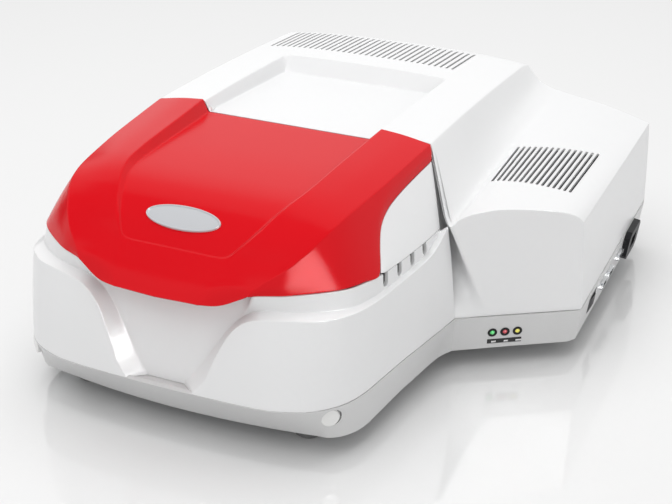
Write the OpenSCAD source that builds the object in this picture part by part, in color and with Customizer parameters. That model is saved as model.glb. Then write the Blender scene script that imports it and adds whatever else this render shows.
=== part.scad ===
// Double-beam benchtop spectrophotometer: grey plinth, white housing, hinged red hood, optics inside.
// Millimetres, +Z up, front towards -Y. X is 0 on the hood's centre line, and Y is 0 at the plinth's
// front corners.
// The whole model is then moved so that the origin is under the middle of its box, at the bench.

/* [Stance] */
// Height of the rubber feet
foot_h = 21; // [15:1:30]
// Radius of a rubber foot at the bench
foot_r = 15; // [10:1:20]
// Height of the grey plinth
plinth_h = 40; // [34:1:50]
// Shadow gap between the plinth and the white housing
seam_gap = 0.6; // [0.4:0.1:0.9]

/* [Housing] */
// Half width between the two ridges of the tower
ridge_x = 163; // [155:1:170]
// Height of the ridges above the bench at the hood's rear seam
ridge_z = 235; // [228:1:242]
// Depth position of the hood's rear seam
seam_y = 250; // [245:1:258]
// Depth position of the rear face
rear_y = 591; // [570:1:620]
// Height of the tower's crown above its ridges
crown_h = 8; // [4:1:12]
// Half width of the tray recess in the tower's top
tray_x = 104; // [95:1:110]
// Depth of the tray recess below the crown
tray_depth = 14; // [10:1:18]
// Depth position of the tray's rear wall
tray_rear_y = 447; // [410:1:450]
// Half width of the housing where the wings end
shoulder_x = 213; // [208:1:218]
// Wall of the moulded housing
wall = 3.5; // [3:0.1:5]
// Wall of the grey plinth
plinth_wall = 4; // [3:0.1:6]

/* [Lamp wing] */
// Half width of the body out to the lamp wing's right face
wing_x = 328; // [318:1:340]
// Height of the lamp wing's right edge
wing_z = 165; // [155:1:172]
// Height of the arch over the wing's front face
arch_z = 190; // [184:1:196]

/* [Hood] */
// Wall of the moulded hood
hood_wall = 3; // [2.5:0.1:4]
// Height of the hood's front lip
lip_z = 160; // [156:1:164]
// Reach of the front lip in front of the plinth corners
lip_y = 42; // [36:1:46]
// Gap between the hood and the housing's rim
hood_gap = 0.8; // [0.5:0.1:1]
// Height of the pivot above the bench
pivot_z = 222; // [219:1:224]
// Depth position of the pivot
pivot_y = 285; // [282:1:290]
// Radius of the hinge pins
pin_r = 4; // [3:0.1:5]
// Half length of the blank oval badge
badge_a = 41; // [35:1:48]
// Half height of the badge
badge_b = 14; // [10:1:16]

/* [Vents and notches] */
// Number of slots in the tower's top
tower_slots = 33; // [10:1:36]
// Number of slots in the lamp wing
wing_slots = 15; // [8:1:18]
// Width of a vent slot
slot_w = 3; // [2:0.1:3.5]
// Number of hose notches in the right rim
notches = 4; // [1:1:5]
// Width of a hose notch
notch_w = 8.5; // [6:0.1:10]
// Spacing of the hose notches
notch_pitch = 26.5; // [20:0.5:30]

/* [Trim and inner pieces] */
// Radius of an indicator light
led_r = 2.5; // [2:0.1:3]
// Radius of the round plugs in the plinth's front corners
plug_r = 9.5; // [8:0.5:10]
// Thickness of the hood's inner liner
liner_t = 2.5; // [2:0.1:4]
// Radius of the turning shafts inside
shaft_r = 4; // [3:0.1:5]
// Running clearance of the shafts
shaft_gap = 0.05; // [0.02:0.01:0.1]
// Running clearance of the hinge pins
pin_gap = 0.05; // [0.02:0.01:0.1]

/* [Hidden] */
$fn = 32;
plinth_top = foot_h + plinth_h;
house_z = plinth_top + seam_gap;
origin_x = (wing_x - shoulder_x) / 2;
front_y = -42.5;
origin_y = (rear_y + front_y) / 2;

red = [0.86, 0.06, 0.09];
white = [0.93, 0.93, 0.92];
grey = [0.72, 0.73, 0.72];
black = [0.07, 0.07, 0.08];
dark = [0.22, 0.22, 0.24];
steel = [0.62, 0.64, 0.66];
silver = [0.78, 0.79, 0.8];

// Places on the right side of the plinth and inside the body.
switch_y = 339;
switch_z = 42;
inlet_y = 515;
inlet_z = 43;
ports = [388, 419, 467];
port_z = 43;
liner_z = 154.4;
grating_at = [-46, 468];
wheel_at = [50, 456];
slit_xs = [-46];
turner_at = [236, 480];
lamp_x = [206, 292];
lamp_y = [396, 520];
slit_at = [[-46, 312, 0], [40, 480, 90]];

// Moves a piece from the body's drawing frame to the model's origin.
module place() {
    translate([-origin_x, -origin_y, 0]) children();
}

// A point at parameter s on a smooth curve through the points p, where s counts the points from 0.
function curve(p, s) =
    let (n = len(p), i = min(n - 2, max(0, floor(s))), t = s - i,
         a = p[max(0, i - 1)], b = p[i], c = p[i + 1], d = p[min(n - 1, i + 2)])
    b + 0.5 * t * (c - a + t * (2 * a - 5 * b + 4 * c - d + t * (3 * (b - c) + d - a)));

// n + 1 points spread along a smooth curve through the points p.
function fair(p, n) = [for (i = [0:n]) curve(p, i * (len(p) - 1) / n)];
function mix(a, b, t) = a + (b - a) * t;
function unit(v) = v / norm(v);
function flip(p) = [-p[0], p[1], p[2]];
// A row that starts on the centre line, with its mirror image put before it.
function both(row) = concat([for (i = [len(row) - 1:-1:1]) flip(row[i])], row);
function smooth01(t) = let (u = max(0, min(1, t))) u * u * (3 - 2 * u);

// The surface normal of grid g at row i and column j, from the neighbours' differences.
function normal(g, i, j) =
    let (r = len(g) - 1, c = len(g[0]) - 1)
    unit(cross(g[i][min(j + 1, c)] - g[i][max(j - 1, 0)],
               g[min(i + 1, r)][j] - g[max(i - 1, 0)][j]));
function lifted(g, t) = [for (i = [0:len(g) - 1])
    [for (j = [0:len(g[0]) - 1]) g[i][j] + t * normal(g, i, j)]];
function quad(a, b, c, d) = [[a, b, c], [a, c, d]];

// A closed shell between the outer grid of points and the inner one.
module shell(outer, inner) {
    r = len(outer);
    c = len(outer[0]);
    n = r * c;
    polyhedron(
        points = concat([for (row = outer) each row], [for (row = inner) each row]),
        faces = concat(
            [for (i = [0:r - 2], j = [0:c - 2])
                each quad(i * c + j, (i + 1) * c + j, (i + 1) * c + j + 1, i * c + j + 1)],
            [for (i = [0:r - 2], j = [0:c - 2])
                each quad(n + i * c + j, n + i * c + j + 1, n + (i + 1) * c + j + 1,
                    n + (i + 1) * c + j)],
            [for (j = [0:c - 2]) each quad(j, j + 1, n + j + 1, n + j)],
            [for (j = [0:c - 2], k = (r - 1) * c) each quad(k + j, n + k + j, n + k + j + 1, k + j + 1)],
            [for (i = [0:r - 2]) each quad(i * c, n + i * c, n + (i + 1) * c, (i + 1) * c)],
            [for (i = [0:r - 2], k = c - 1)
                each quad(i * c + k, (i + 1) * c + k, n + (i + 1) * c + k, n + i * c + k)]));
}

// Housing: the bumper wings with their ledge and rim, then the tower and the lamp wing.

// Right half of the wings, front centre to the lamp wing: the foot of the wall at the seam.
wing_foot = [
    [0, -28.5], [12, -28.5], [21, -28.5], [38, -42], [44, -42.2], [54, -42.2], [66, -42], [76, -41.7],
    [86, -41.2], [96, -40.5], [108, -39.5], [122, -37], [138, -31.5], [154, -23.5], [168, -11],
    [180, 7], [187.5, 32], [191.5, 62], [197, 104], [202, 134], [206, 160], [209, 178], [211, 192],
    [shoulder_x, 205]];
// The same columns along the wings' upper edge, which falls to the seam in an S beside the front recess.
wing_edge = [
    [0, -28.2, 62.5], [12, -28.2, 62.5], [21.5, -28.2, 62.5], [38.5, -41.6, 63.5], [49, -38.5, 77],
    [56, -35.5, 94], [64, -32.2, 112], [72, -29.3, 127], [81, -27, 138], [92, -24.5, 145],
    [105, -22, 148], [120, -18, 149], [136, -14, 150], [153, -8, 150.5], [166, 2, 151], [176, 14, 151],
    [183.5, 36, 149.5], [188.5, 66, 148], [193, 104, 148], [197.5, 132, 150], [201, 157, 152.5],
    [203, 172, 157.5], [204, 186, 164], [203.5, 200, 170]];
// The foot of the rim wall, where the ledge meets the body behind it.
rim_foot = [
    [0, -27.8, 65], [12, -27.8, 65], [21.5, -27.8, 65], [24.5, -27.3, 67.5], [35, -24, 81],
    [45, -20, 96], [56, -16.5, 113], [66, -13.5, 127.5], [76, -11.5, 138.5], [87, -11, 147],
    [100, -11.5, 152], [117, -8.5, 153.5], [134, -2.5, 153.5], [151, 7.5, 153], [164, 18, 152.5],
    [174, 30, 152.5], [178.5, 47, 151], [183.5, 70, 150], [188.5, 104, 150], [191.5, 134, 150.5],
    [193.8, 160, 152], [195, 176, 155], [195.5, 188, 159], [195.6, 200, 163.5]];
// The hood's lower edge from the lip's corner to the rear corner.
brim = [
    [92, -24, 170.5], [98, -21.5, 171.5], [106, -18.5, 172], [122, -11, 172], [135, -2, 172],
        [150, 9.5, 172],
    [163, 21, 172], [172, 33, 172], [178.5, 50, 171], [184, 72, 169], [188.5, 104, 167.5],
    [191.5, 134, 166.5], [194, 165, 166], [195.5, 200, 165.5]];
// The top of the rim wall keeps under the brim.
rim_head = concat(
    [for (k = [0:8]) [k * 11, -5 - 0.25 * k, 169]],
    [for (s = [0.6, 2, 2.8, 4, 5, 6, 7, 8, 9, 10, 11, 11.9, 12.45, 12.8, 13])
        curve(brim, s) + [-0.6, 0.6, s > 7 && s < 10 ? -hood_gap - 0.7 : -hood_gap]]);
function raised(p, z) = [p[0], p[1], z];
wing_rows = [
    [for (p = wing_foot) raised(p, house_z)],
    [for (j = [0:len(wing_foot) - 1])
        mix(raised(wing_foot[j], house_z), wing_edge[j], 0.55)
        + unit([wing_edge[j][0], wing_edge[j][1] - 120, 0]) * 1.2 * min(1, (wing_edge[j][2] - 62) / 40)],
    wing_edge,
    rim_foot,
    [for (j = [0:len(rim_foot) - 1]) mix(rim_foot[j], rim_head[j], 0.5)],
    rim_head];
wings = [for (row = wing_rows) both(row)];

// Tower and lamp wing: one sheet draped from the left wall over the crown to the right wall.
// Each column runs from the hood's seam or the arch, at the front, to the rear face.
drape_front = concat(
    [[-shoulder_x, 205, house_z], [-209, 203, 112], [-203.5, 200, 170], [-183, 225, 202.5]],
    [for (x = [-ridge_x, -136, -tray_x - 2, -tray_x + 3, -52, 0, 52, tray_x - 3, tray_x + 2, 136,
        ridge_x])
        [x, seam_y, ridge_z + crown_h * (1 - pow(abs(x) / ridge_x, 3))]],
    [[183, 225, 202.5], [203.5, 200, 170], [212, 204.4, 178], [223, 211.5, 185], [236, 220, arch_z - 1.5],
     [249, 228.5, arch_z], [275, 245.5, arch_z - 2], [302, 263, arch_z - 9], [317, 273, 172.5],
     [wing_x - 4, 277.5, wing_z], [wing_x - 2, 278.8, 125], [wing_x, 280, house_z]]);
drape_rear = concat(
    [[-203, rear_y, house_z], [-200, rear_y, 112], [-192, rear_y, 150], [-178, rear_y, 183]],
    [for (x = [-160, -132, -104, -98, -52, 0, 52, 98, 104, 132, 158])
        [x, rear_y, 214 + 7 * (1 - pow(abs(x) / 160, 3))]],
    [[172, rear_y, 197.5], [190, rear_y, 189.5], [203, rear_y, 187], [216, rear_y, 184.5],
        [233, rear_y, 182],
     [249, rear_y, 179.5], [273, rear_y, 174.5], [295, rear_y, 168.5], [306, rear_y, 165.5],
     [314, rear_y, wing_z - 2], [316, rear_y, 125], [317.5, rear_y, house_z]]);
// Turned-in edge in front of the sheet: a bevel along the seam's two slopes and a flange elsewhere.
drape_lip = [for (j = [0:len(drape_front) - 1]) let (p = drape_front[j])
    j <= 1 ? p + [wall + 0.7, 1.8, 0]
    : j == 2 ? [-196.4, 201.6, 167]
    : j == 3 ? [-179.8, 224.8, 200.2]
    : j == 15 ? [179.8, 224.8, 200.2]
    : j == 16 ? [196.4, 200.9, 166.6]
    : j >= 7 && j <= 11 ? [p[0], p[1], ridge_z + crown_h - tray_depth - 5.5]
    : p[2] > ridge_z - 1 ? p - [0, 0, 5.5]
    : p[0] > 322 ? p + [-0.8, -0.9, 0]
    : p + [0.3, -0.5, -0.7]];
// The tray's floor falls by this much towards the rear.
tray_fall = 11;
tray_end = (tray_rear_y - 15 - seam_y) / (rear_y - seam_y);
tray_back = (tray_rear_y - seam_y) / (rear_y - seam_y);
drape_steps = [0, 0.06, 0.14, 0.26, 0.38, tray_end, tray_back, 0.62, 0.72, 0.82, 0.93, 1];
function drape_fall(s) = s < 1 ? 0.8 * pow(s, 1.8) : 1;
drape_rows = concat([drape_lip], [for (s = drape_steps)
    [for (j = [0:len(drape_front) - 1])
        let (f = drape_front[j], r = drape_rear[j], tower = j >= 4 && j <= 14,
             in_tray = j >= 7 && j <= 11 && s <= tray_end,
             z = mix(f[2], r[2], tower ? drape_fall(s) : j < 4 ? s : 1 - pow(1 - s, 1.5)))
        [mix(f[0], r[0], s), mix(f[1], r[1], s),
         in_tray ? ridge_z + crown_h - tray_depth - tray_fall * s / tray_end : z]]]);

// Front wall of the lamp wing, in a plane that turns away from the hood.
wing_turn = 33.2;
wing_front_len = 133;
function wing_u(p) = (p[0] - shoulder_x) * cos(wing_turn) + (p[1] - 205) * sin(wing_turn);
module wing_front() {
    sheet = lifted(drape_rows, -wall)[1];
    arch = [for (j = [len(drape_front) - 4:-1:17]) [wing_u(drape_front[j]), sheet[j][2] - 2.6]];
    translate([shoulder_x, 205, 0]) rotate([0, 0, wing_turn]) translate([0, wall, 0])
        rotate([90, 0, 0]) linear_extrude(wall)
            polygon(concat([[1.4, house_z], [wing_front_len - 0.5, house_z], [wing_front_len - 3, 125],
                [wing_front_len - 5.2, wing_z - wall - 1]], arch, [[-8.6, 166]]));
}

module tower_slot_cuts() {
    pitch = 241 / (tower_slots - 1);
    for (k = [0:tower_slots - 1])
        translate([-145 + k * pitch - slot_w / 2, 486, 200]) cube([slot_w, 82, 60]);
}

wing_vent_turn = 1.8;
module wing_slot_cuts() {
    for (k = [0:wing_slots - 1])
        let (t = k / (wing_slots - 1))
        translate([mix(212, 294, t), mix(304, 318, t), 150]) rotate([0, 0, wing_vent_turn])
            cube([slot_w, mix(100, 128, t), 50]);
}

module notch_cuts() {
    for (k = [0:notches - 1])
        translate([174, 82 + k * notch_pitch, 152.5 + notch_w / 2]) {
            rotate([0, 90, 0]) cylinder(r = notch_w / 2, h = 22);
            translate([0, -notch_w / 2, 0]) cube([22, notch_w, 30]);
        }
}

function floored(g) = [for (row = g) [for (p = row) [p[0], p[1], max(p[2], house_z)]]];
// The inner edge of the rim's top stays level with its outer edge, under the hood.
wings_inner = let (g = floored(lifted(wings, -wall)), top = len(wings) - 1)
    [for (i = [0:top]) [for (j = [0:len(g[i]) - 1])
        i < top ? g[i][j] : [g[i][j][0], g[i][j][1], min(g[i][j][2], wings[i][j][2])]]];
module front_bumper() {
    color(white) place() difference() {
        shell(wings, wings_inner);
        notch_cuts();
    }
}

module housing_cover() {
    color(white) place() difference() {
        shell(drape_rows, floored(lifted(drape_rows, -wall)));
        tower_slot_cuts();
        wing_slot_cuts();
    }
}

module lamp_front() {
    color(white) place() wing_front();
}

// Hood: smooth lines from the lip (first) to the rear seam (last), right half.
hood_mid = [
    [0, -lip_y, lip_z], [0, -29, 171.5], [0, -17, 180.5], [0, -8, 187], [0, 1, 193.5], [0, 16, 205],
    [0, 30, 213], [0, 45, 220.5], [0, 63, 226.5], [0, 85, 229], [0, 115, 229.8], [0, 150, 230],
    [0, 200, 229.5], [0, seam_y - 0.8, ridge_z + crown_h - tray_depth]];
pan_half = [43, 46, 50, 55, 60, 71.5, 79, 85.5, 92.5, 97.5, 99.5, 100.5, 102, tray_x];
pan_drop = [0, 0, 0, 0.2, 1, 2.4, 3.2, 4, 5, 6.5, 8, 9.5, 11.5, tray_depth];
crease = [
    [91, -26, 171.5], [96, -22, 176.5], [102, -16.5, 181.5], [111, -9, 187.5], [121, 1, 194.5],
    [132, 16, 204.5], [139, 30, 212.5], [145, 45, 219.5], [149, 63, 224], [152, 85, 226.5],
    [155, 115, 228.5], [158, 150, 230.5], [160.5, 200, 233], [ridge_x, seam_y - 0.8, ridge_z]];
// Border between the red hood and the white cheek, from the lower edge up and back to the seam.
cheek_border = [
    [184, 72, 169], [180, 81, 178], [175, 91, 189], [169, 107, 202], [166, 130, 210.5], [166, 160, 215.5],
    [167, 197, 218.5], [169, 239, 221.5]];
hood_edge = concat([for (i = [0:9]) brim[i]], [for (s = [2, 4, 5.3, 7]) curve(cheek_border, s)]);
function hood_row(i) =
    let (m = hood_mid[i], c = crease[i], e = hood_edge[i], half = pan_half[i],
         base = m + [half - 3, (half / 67) * (half / 67) * (i == 0 ? 5 : 0), 0],
         crest = base + [6, 0, pan_drop[i]],
         shoulder = i == 0 ? [67, -34.5, lip_z + 0.8] : mix(crest, c, 0.5) + [0, 0, 1.2])
    [m, mix(m, base, 0.5), base, crest, shoulder, c, mix(c, e, 0.5) + [0.8, -0.3, 0.5], e];
hood_rows = [for (i = [0:13]) hood_row(i)];
// Past the last point of the brim, the hood's edge runs along the cheek's border.
function border_at(u) = u < 11 ? 2 * (u - 9) : u < 12 ? 4 + 1.3 * (u - 11) : 5.3 + 1.7 * (u - 12);
hood_columns = [for (j = [0:7]) let (line = [for (i = [0:13]) hood_rows[i][j]])
    [for (i = [0:26]) j == 7 && i > 18 ? curve(cheek_border, border_at(i / 2)) : curve(line, i / 2)]];
hood_grid = [for (i = [0:26]) both([for (j = [0:7]) hood_columns[j][i]])];
// The inner skin stops short at the rear, so that the edge clears the tower as the hood lifts.
rear_clear = 3.6;
// An inner edge is drawn back along the wall, and no lower than the outer edge.
edge_back = 1.8;
function drawn_back(p, next, edge) =
    let (q = p + unit(next - p) * edge_back) [q[0], q[1], max(q[2], edge[2])];
hood_inner = let (g = lifted(hood_grid, -hood_wall), c = len(g[0]) - 1)
    [for (i = [0:26]) [for (j = [0:c])
        let (p = j == 0 ? drawn_back(g[i][j], g[i][1], hood_grid[i][j])
            : j == c ? drawn_back(g[i][j], g[i][c - 1], hood_grid[i][j]) : g[i][j])
        i == 26 ? p - [0, rear_clear, 0] : p]];

module hood_bosses() {
    for (side = [-1, 1]) {
        for (y = [60, 150]) translate([side * 112, y, liner_z + liner_t])
            cylinder(r = 6, h = y < 100 ? 70.5 : 79.5);
        translate([side * arm_x - 9.5, pivot_y - 58, arm_seat_z]) cube([19, 17, 6]);
    }
}

module hood() {
    color(red) place() {
        difference() {
            shell(hood_grid, hood_inner);
            on_badge() translate([0, 0, -1.2]) linear_extrude(8)
                polygon(ellipse(badge_a + 0.1, badge_b + 0.1));
        }
        hood_bosses();
    }
}

cheek_gap = 0.4;
cheek_steps = 14;
cheek_rows = [for (k = [0:cheek_steps])
    let (t = 0.04 + 0.96 * k / cheek_steps, top = curve(cheek_border, 7 * t),
        low = curve(brim, 9 + 4 * t),
         d = unit(low - top) * cheek_gap)
    [for (v = [0, 0.35, 0.7, 1]) mix(top + d, low, v) + [1.2, -0.4, 0.6] * v * (1 - v) * 2]];
cheek_inner = let (g = lifted(cheek_rows, -hood_wall))
    [for (k = [0:cheek_steps]) [
        g[k][0] + unit(g[k][1] - g[k][0]) * 2 * edge_back, g[k][1], g[k][2],
        drawn_back(g[k][3], g[k][2], cheek_rows[k][3])]];
module cheek() {
    shell(cheek_rows, cheek_inner);
}

module hood_cheeks() {
    color(white) place() {
        cheek();
        mirror([1, 0, 0]) cheek();
    }
}

// Plinth: the seam outline above and a smaller outline at the foot, column by column.
plinth_side = [for (j = [0:len(wing_foot) - 1]) j < 3 ? [wing_foot[j][0], front_y] : wing_foot[j]];
plinth_foot_side = concat(
    [for (j = [0:13]) let (x = 0.985 * wing_foot[j][0]) [x, -14.5 + 15.5 * pow(x / 162, 2)]],
    [[163, 0.8], [175.5, 11.6], [184.6, 31], [188.2, 62], [191.5, 104], [195, 134], [198, 160], [200.5, 178],
     [203.5, 192], [210, 207]]);
plinth_high = concat(
    [for (p = plinth_side) p], [[268, 240.5], [321, 275.2], [wing_x, 283], [322.7, 440], [317.5, rear_y]],
    [[-203, rear_y]], [for (i = [len(plinth_side) - 1:-1:1]) [-plinth_side[i][0], plinth_side[i][1]]]);
plinth_low = concat(
    [for (p = plinth_foot_side) p], [[266, 245.5], [316, 278.5], [322, 288], [317, 440],
        [312, rear_y - 3]],
    [[-197, rear_y - 3]],
    [for (i = [len(plinth_foot_side) - 1:-1:1]) [-plinth_foot_side[i][0], plinth_foot_side[i][1]]]);

// Insets a closed outline, counter-clockwise seen from above, by d.
function inset(o, d) = [for (i = [0:len(o) - 1])
    let (a = o[(i + len(o) - 1) % len(o)], b = o[(i + 1) % len(o)], t = unit([b[0] - a[0], b[1] - a[1]]))
    [o[i][0] - d * t[1], o[i][1] + d * t[0]]];
function at_height(o, z) = [for (p = o) [p[0], p[1], z]];

// A closed wall between two stacks of closed outlines, the outer and the inner one.
module ring_wall(outer, inner) {
    r = len(outer);
    c = len(outer[0]);
    n = r * c;
    polyhedron(
        points = concat([for (row = outer) each row], [for (row = inner) each row]),
        faces = concat(
            [for (i = [0:r - 2], j = [0:c - 1], k = (j + 1) % c)
                each quad(i * c + j, (i + 1) * c + j, (i + 1) * c + k, i * c + k)],
            [for (i = [0:r - 2], j = [0:c - 1], k = (j + 1) % c)
                each quad(n + i * c + j, n + i * c + k, n + (i + 1) * c + k, n + (i + 1) * c + j)],
            [for (j = [0:c - 1], k = (j + 1) % c) each quad(j, k, n + k, n + j)],
            [for (j = [0:c - 1], k = (j + 1) % c, m = (r - 1) * c)
                each quad(m + j, n + m + j, n + m + k, m + k)]));
}

plinth_steps = [0, 0.25, 0.5, 0.75, 0.92, 1];
function plinth_outline(t) = [for (j = [0:len(plinth_high) - 1]) mix(plinth_low[j], plinth_high[j], t)];
plinth_outer = [for (t = plinth_steps) at_height(plinth_outline(t), mix(foot_h, plinth_top, t))];
plinth_inner = [for (t = plinth_steps)
    at_height(inset(plinth_outline(t), plinth_wall), t < 1 ? mix(foot_h, plinth_top, t) : house_z)];

// Frame of the plinth's lamp-wing facet: x along it to the right, z up it and y into the plinth.
facet_a = plinth_outline(0.5)[len(plinth_side) - 1];
facet_b = plinth_outline(0.5)[len(plinth_side) + 1];
facet_turn = atan2(facet_b[1] - facet_a[1], facet_b[0] - facet_a[0]);
facet_lean = 5.5;
module on_facet(along, z) {
    translate([facet_a[0], facet_a[1], foot_h + plinth_h / 2]) rotate([0, 0, facet_turn])
        translate([along, 0, 0]) rotate([facet_lean, 0, 0]) translate([0, 0, z]) children();
}
// Frame of the plinth's right side: x to the rear, z up and y into the plinth.
side_turn = 91.6;
side_lean = 8.3;
module on_side(y, z) {
    translate([mix(324.9, 315.2, (y - 285) / (rear_y - 285)), y, foot_h + plinth_h / 2])
        rotate([0, 0, side_turn])
        rotate([side_lean, 0, 0]) translate([0, 0, z - foot_h - plinth_h / 2]) children();
}
// Frame of a plug on the plinth's rounded front corner.
plug_at = [168.2, -4.5, 48.4];
plug_turn = 42;
plug_seat = 6;
module on_corner() {
    translate(plug_at) rotate([0, 0, plug_turn]) children();
}
// A round run along the plug's axis: the depths are measured into the plinth.
module plug_round(r, from, to) {
    on_corner() rotate([-90, 0, 0]) translate([0, 0, from]) cylinder(r = r, h = to - from);
}
led_z = 0;
leds = [44.4, 58.1, 71.8];
module led_cut(r, depth, proud) {
    for (a = leds) on_facet(a, led_z) translate([0, -proud, 0]) rotate([-90, 0, 0])
        cylinder(r = r, h = depth);
}

module plinth() {
    color(grey) place() difference() {
        union() {
            ring_wall(plinth_outer, plinth_inner);
            translate([-46, -40, plinth_top - 3]) cube([92, 16, 3]);
            for (side = [0, 1]) mirror([side, 0, 0]) plug_round(plug_r + 3, 4.5, plug_seat + 3);
        }
        led_cut(led_r + 1.5, 20, 8);
        for (side = [0, 1]) mirror([side, 0, 0]) plug_round(plug_r + 0.9, -15, plug_seat);
        on_side(switch_y, switch_z) {
            translate([-14, -9, -9.5]) cube([28, 20, 19]);
            translate([-17.3, -9, -11.8]) cube([34.6, 9.1, 23.6]);
        }
        on_side(inlet_y, inlet_z) translate([-23, -9, -12]) cube([46, 20, 24]);
        for (y = ports) on_side(y, port_z) translate([-9, -9, -5]) cube([18, 20, 10]);
    }
}

plate_t = 2.5;
plate_z = foot_h + 1;
module bottom_plate() {
    color(steel) place() difference() {
        translate([0, 0, plate_z]) linear_extrude(plate_t)
            polygon(inset(plinth_low, plinth_wall + 0.4));
        for (x = [-80:16:80]) translate([x - 3, 66, plate_z - 1]) cube([6, 116, plate_t + 2]);
    }
}

feet = [[-128, 32], [128, 32], [-160, 545], [160, 545], [286, 330], [280, 545]];
module rubber_feet() {
    color(black) place()
        for (f = feet) translate([f[0], f[1], 0]) rotate_extrude()
            polygon([[0, 0], [foot_r - 2, 0], [foot_r, 2], [foot_r - 1.5, plate_z], [0, plate_z]]);
}

module corner_plug() {
    on_corner() rotate([90, 0, 0]) rotate_extrude()
        polygon([[0, -plug_seat], [plug_r, -plug_seat], [plug_r, 0.8], [plug_r - 1, 1.6], [0, 2]]);
}
module corner_plugs() {
    color(grey) place() {
        corner_plug();
        mirror([1, 0, 0]) corner_plug();
    }
}

module led_bezels() {
    color(black) place() difference() {
        union() {
            led_cut(led_r + 2.6, 1.5, 1.6);
            led_cut(led_r + 1.3, 9, 1);
        }
        led_cut(led_r + 0.05, 14, 3);
    }
}
module led(k) {
    place() on_facet(leds[k], led_z) rotate([90, 0, 0]) {
        translate([0, 0, -6]) cylinder(r = led_r, h = 6.5);
        translate([0, 0, 0.5]) intersection() {
            sphere(r = led_r);
            cylinder(r = led_r, h = led_r);
        }
    }
}
module led_green() {
    color([0.25, 0.9, 0.35]) led(0);
}
module led_red() {
    color([0.9, 0.25, 0.25]) led(1);
}
module led_yellow() {
    color([0.95, 0.92, 0.45]) led(2);
}
module led_label() {
    color(black) place() on_facet(leds[1], led_z - 11.5) translate([-18.8, -0.9, -2.8])
        cube([37.6, 0.8, 5.6]);
}

// Right side: mains switch, serial ports and mains inlet.
module switch_frame() {
    color(black) place() on_side(switch_y, switch_z) difference() {
        union() {
            translate([-17, -2, -11.5]) cube([34, 2, 23]);
            translate([-13.8, -0.5, -9.3]) cube([27.6, 10, 18.6]);
        }
        translate([-12, -5, -7.5]) cube([24, 13, 15]);
        translate([0, 3, -8.8]) cylinder(r = 1.55, h = 17.6);
    }
}
module power_rocker() {
    color(black) place() on_side(switch_y, switch_z) {
        difference() {
            translate([0, 3, -7.1]) linear_extrude(14.2)
                polygon([[-11, -4.6], [0, -6.2], [10.8, -6.4], [10.8, -3], [4, 2.5], [-4, 2.5],
                    [-11, -1]]);
        }
        translate([0, 3, -8.7]) cylinder(r = 1.5, h = 17.4);
    }
}
module serial_port() {
    difference() {
        union() {
            translate([-15, -1.2, -6.2]) cube([30, 1.2, 12.4]);
            translate([-8.4, -5.5, -4.2]) cube([16.8, 10, 8.4]);
        }
        translate([-7.8, -7, -3.6]) cube([15.6, 7, 7.2]);
    }
    for (side = [-1, 1]) translate([side * 12.2, -1.2, 0]) rotate([90, 0, 0])
        cylinder(r = 2.7, h = 4.6, $fn = 6);
}
module serial_ports() {
    color(silver) place() for (y = ports) on_side(y, port_z) serial_port();
}
module port_pins() {
    color(black) place() for (y = ports) on_side(y, port_z)
        translate([-7.5, -2.5, -3.3]) cube([15, 2.5, 6.6]);
}
module mains_inlet() {
    color(black) place() on_side(inlet_y, inlet_z) difference() {
        union() {
            rotate([90, 0, 0]) linear_extrude(9)
                polygon([[-27, -12], [-20, -18], [20, -18], [27, -12], [27, 12], [20, 18], [-20, 18],
                    [-27, 12]]);
            translate([-22.7, -0.5, -11.7]) cube([45.4, 14, 23.4]);
        }
        translate([-12, -10, -8]) cube([24, 19, 16]);
    }
}

// Optics, all carried by one cast base in the tower and the lamp wing.
base_z = 66;
base_t = 8;
deck_z = 151;
optics_z = base_z + base_t;
beam_z = 118;
beam_ys = [95, 150];
module optics_base() {
    color(silver) place() {
        difference() {
            translate([0, 0, base_z]) linear_extrude(base_t) polygon([[-150, 234], [150, 234], [150, 262],
            [226, 262], [296, 306], [296, 560], [150, 560], [150, 575], [-150, 575]]);
            for (p = [grating_at, turner_at])
                translate([p[0], p[1], base_z - 1]) cylinder(r = shaft_r + 1, h = base_t + 2);
        }
        for (p = [[-135, 250], [135, 250], [-135, 560], [135, 560], [280, 320], [280, 520]])
            translate([p[0], p[1], plate_z + plate_t]) cylinder(r = 8, h = base_z - plate_z - plate_t);
    }
}

// Black tub of the sample compartment with its deck, resting on four pillars.
tub_x = 112;
tub_y = [38, 212];
tub_floor = 78;
module deck_outline() {
    inner = lifted(wings, -wall - 1);
    row = inner[4];
    right = concat([[70, 5], [108, 1]], [for (j = [(len(row) - 1) / 2 + 12:len(row) - 2])
        [row[j][0], row[j][1]]]);
    polygon(concat([[0, 7]], right, [[186, 232], [-186, 232]],
        [for (i = [len(right) - 1:-1:0]) [-right[i][0], right[i][1]]]));
}
module sample_deck() {
    color(grey) place() difference() {
        translate([0, 0, deck_z - 4]) linear_extrude(4) deck_outline();
        translate([-tub_x, tub_y[0], deck_z - 5]) cube([2 * tub_x, tub_y[1] - tub_y[0], 6]);
    }
}
module sample_tub() {
    color(black) place() difference() {
        union() {
            translate([-tub_x - 4, tub_y[0] - 4, tub_floor - 4])
                cube([2 * tub_x + 8, tub_y[1] - tub_y[0] + 8, deck_z - 4 - tub_floor + 4]);
            for (x = [-90, 90], y = [60, 190])
                translate([x, y, plate_z + plate_t]) cylinder(r = 7, h = tub_floor - plate_z - plate_t);
        }
        translate([-tub_x, tub_y[0], tub_floor]) cube([2 * tub_x, tub_y[1] - tub_y[0], 90]);
        for (y = beam_ys)
            translate([-tub_x - 10, y, beam_z]) rotate([0, 90, 0]) cylinder(r = 9, h = 2 * tub_x + 20);
    }
}
module beam_windows() {
    color([0.8, 0.9, 0.95]) place()
        for (side = [-1, 1], y = beam_ys) translate([side * (tub_x + 2), y, beam_z]) rotate([0, 90, 0])
            translate([0, 0, -1.5]) cylinder(r = 9, h = 3);
}

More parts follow.
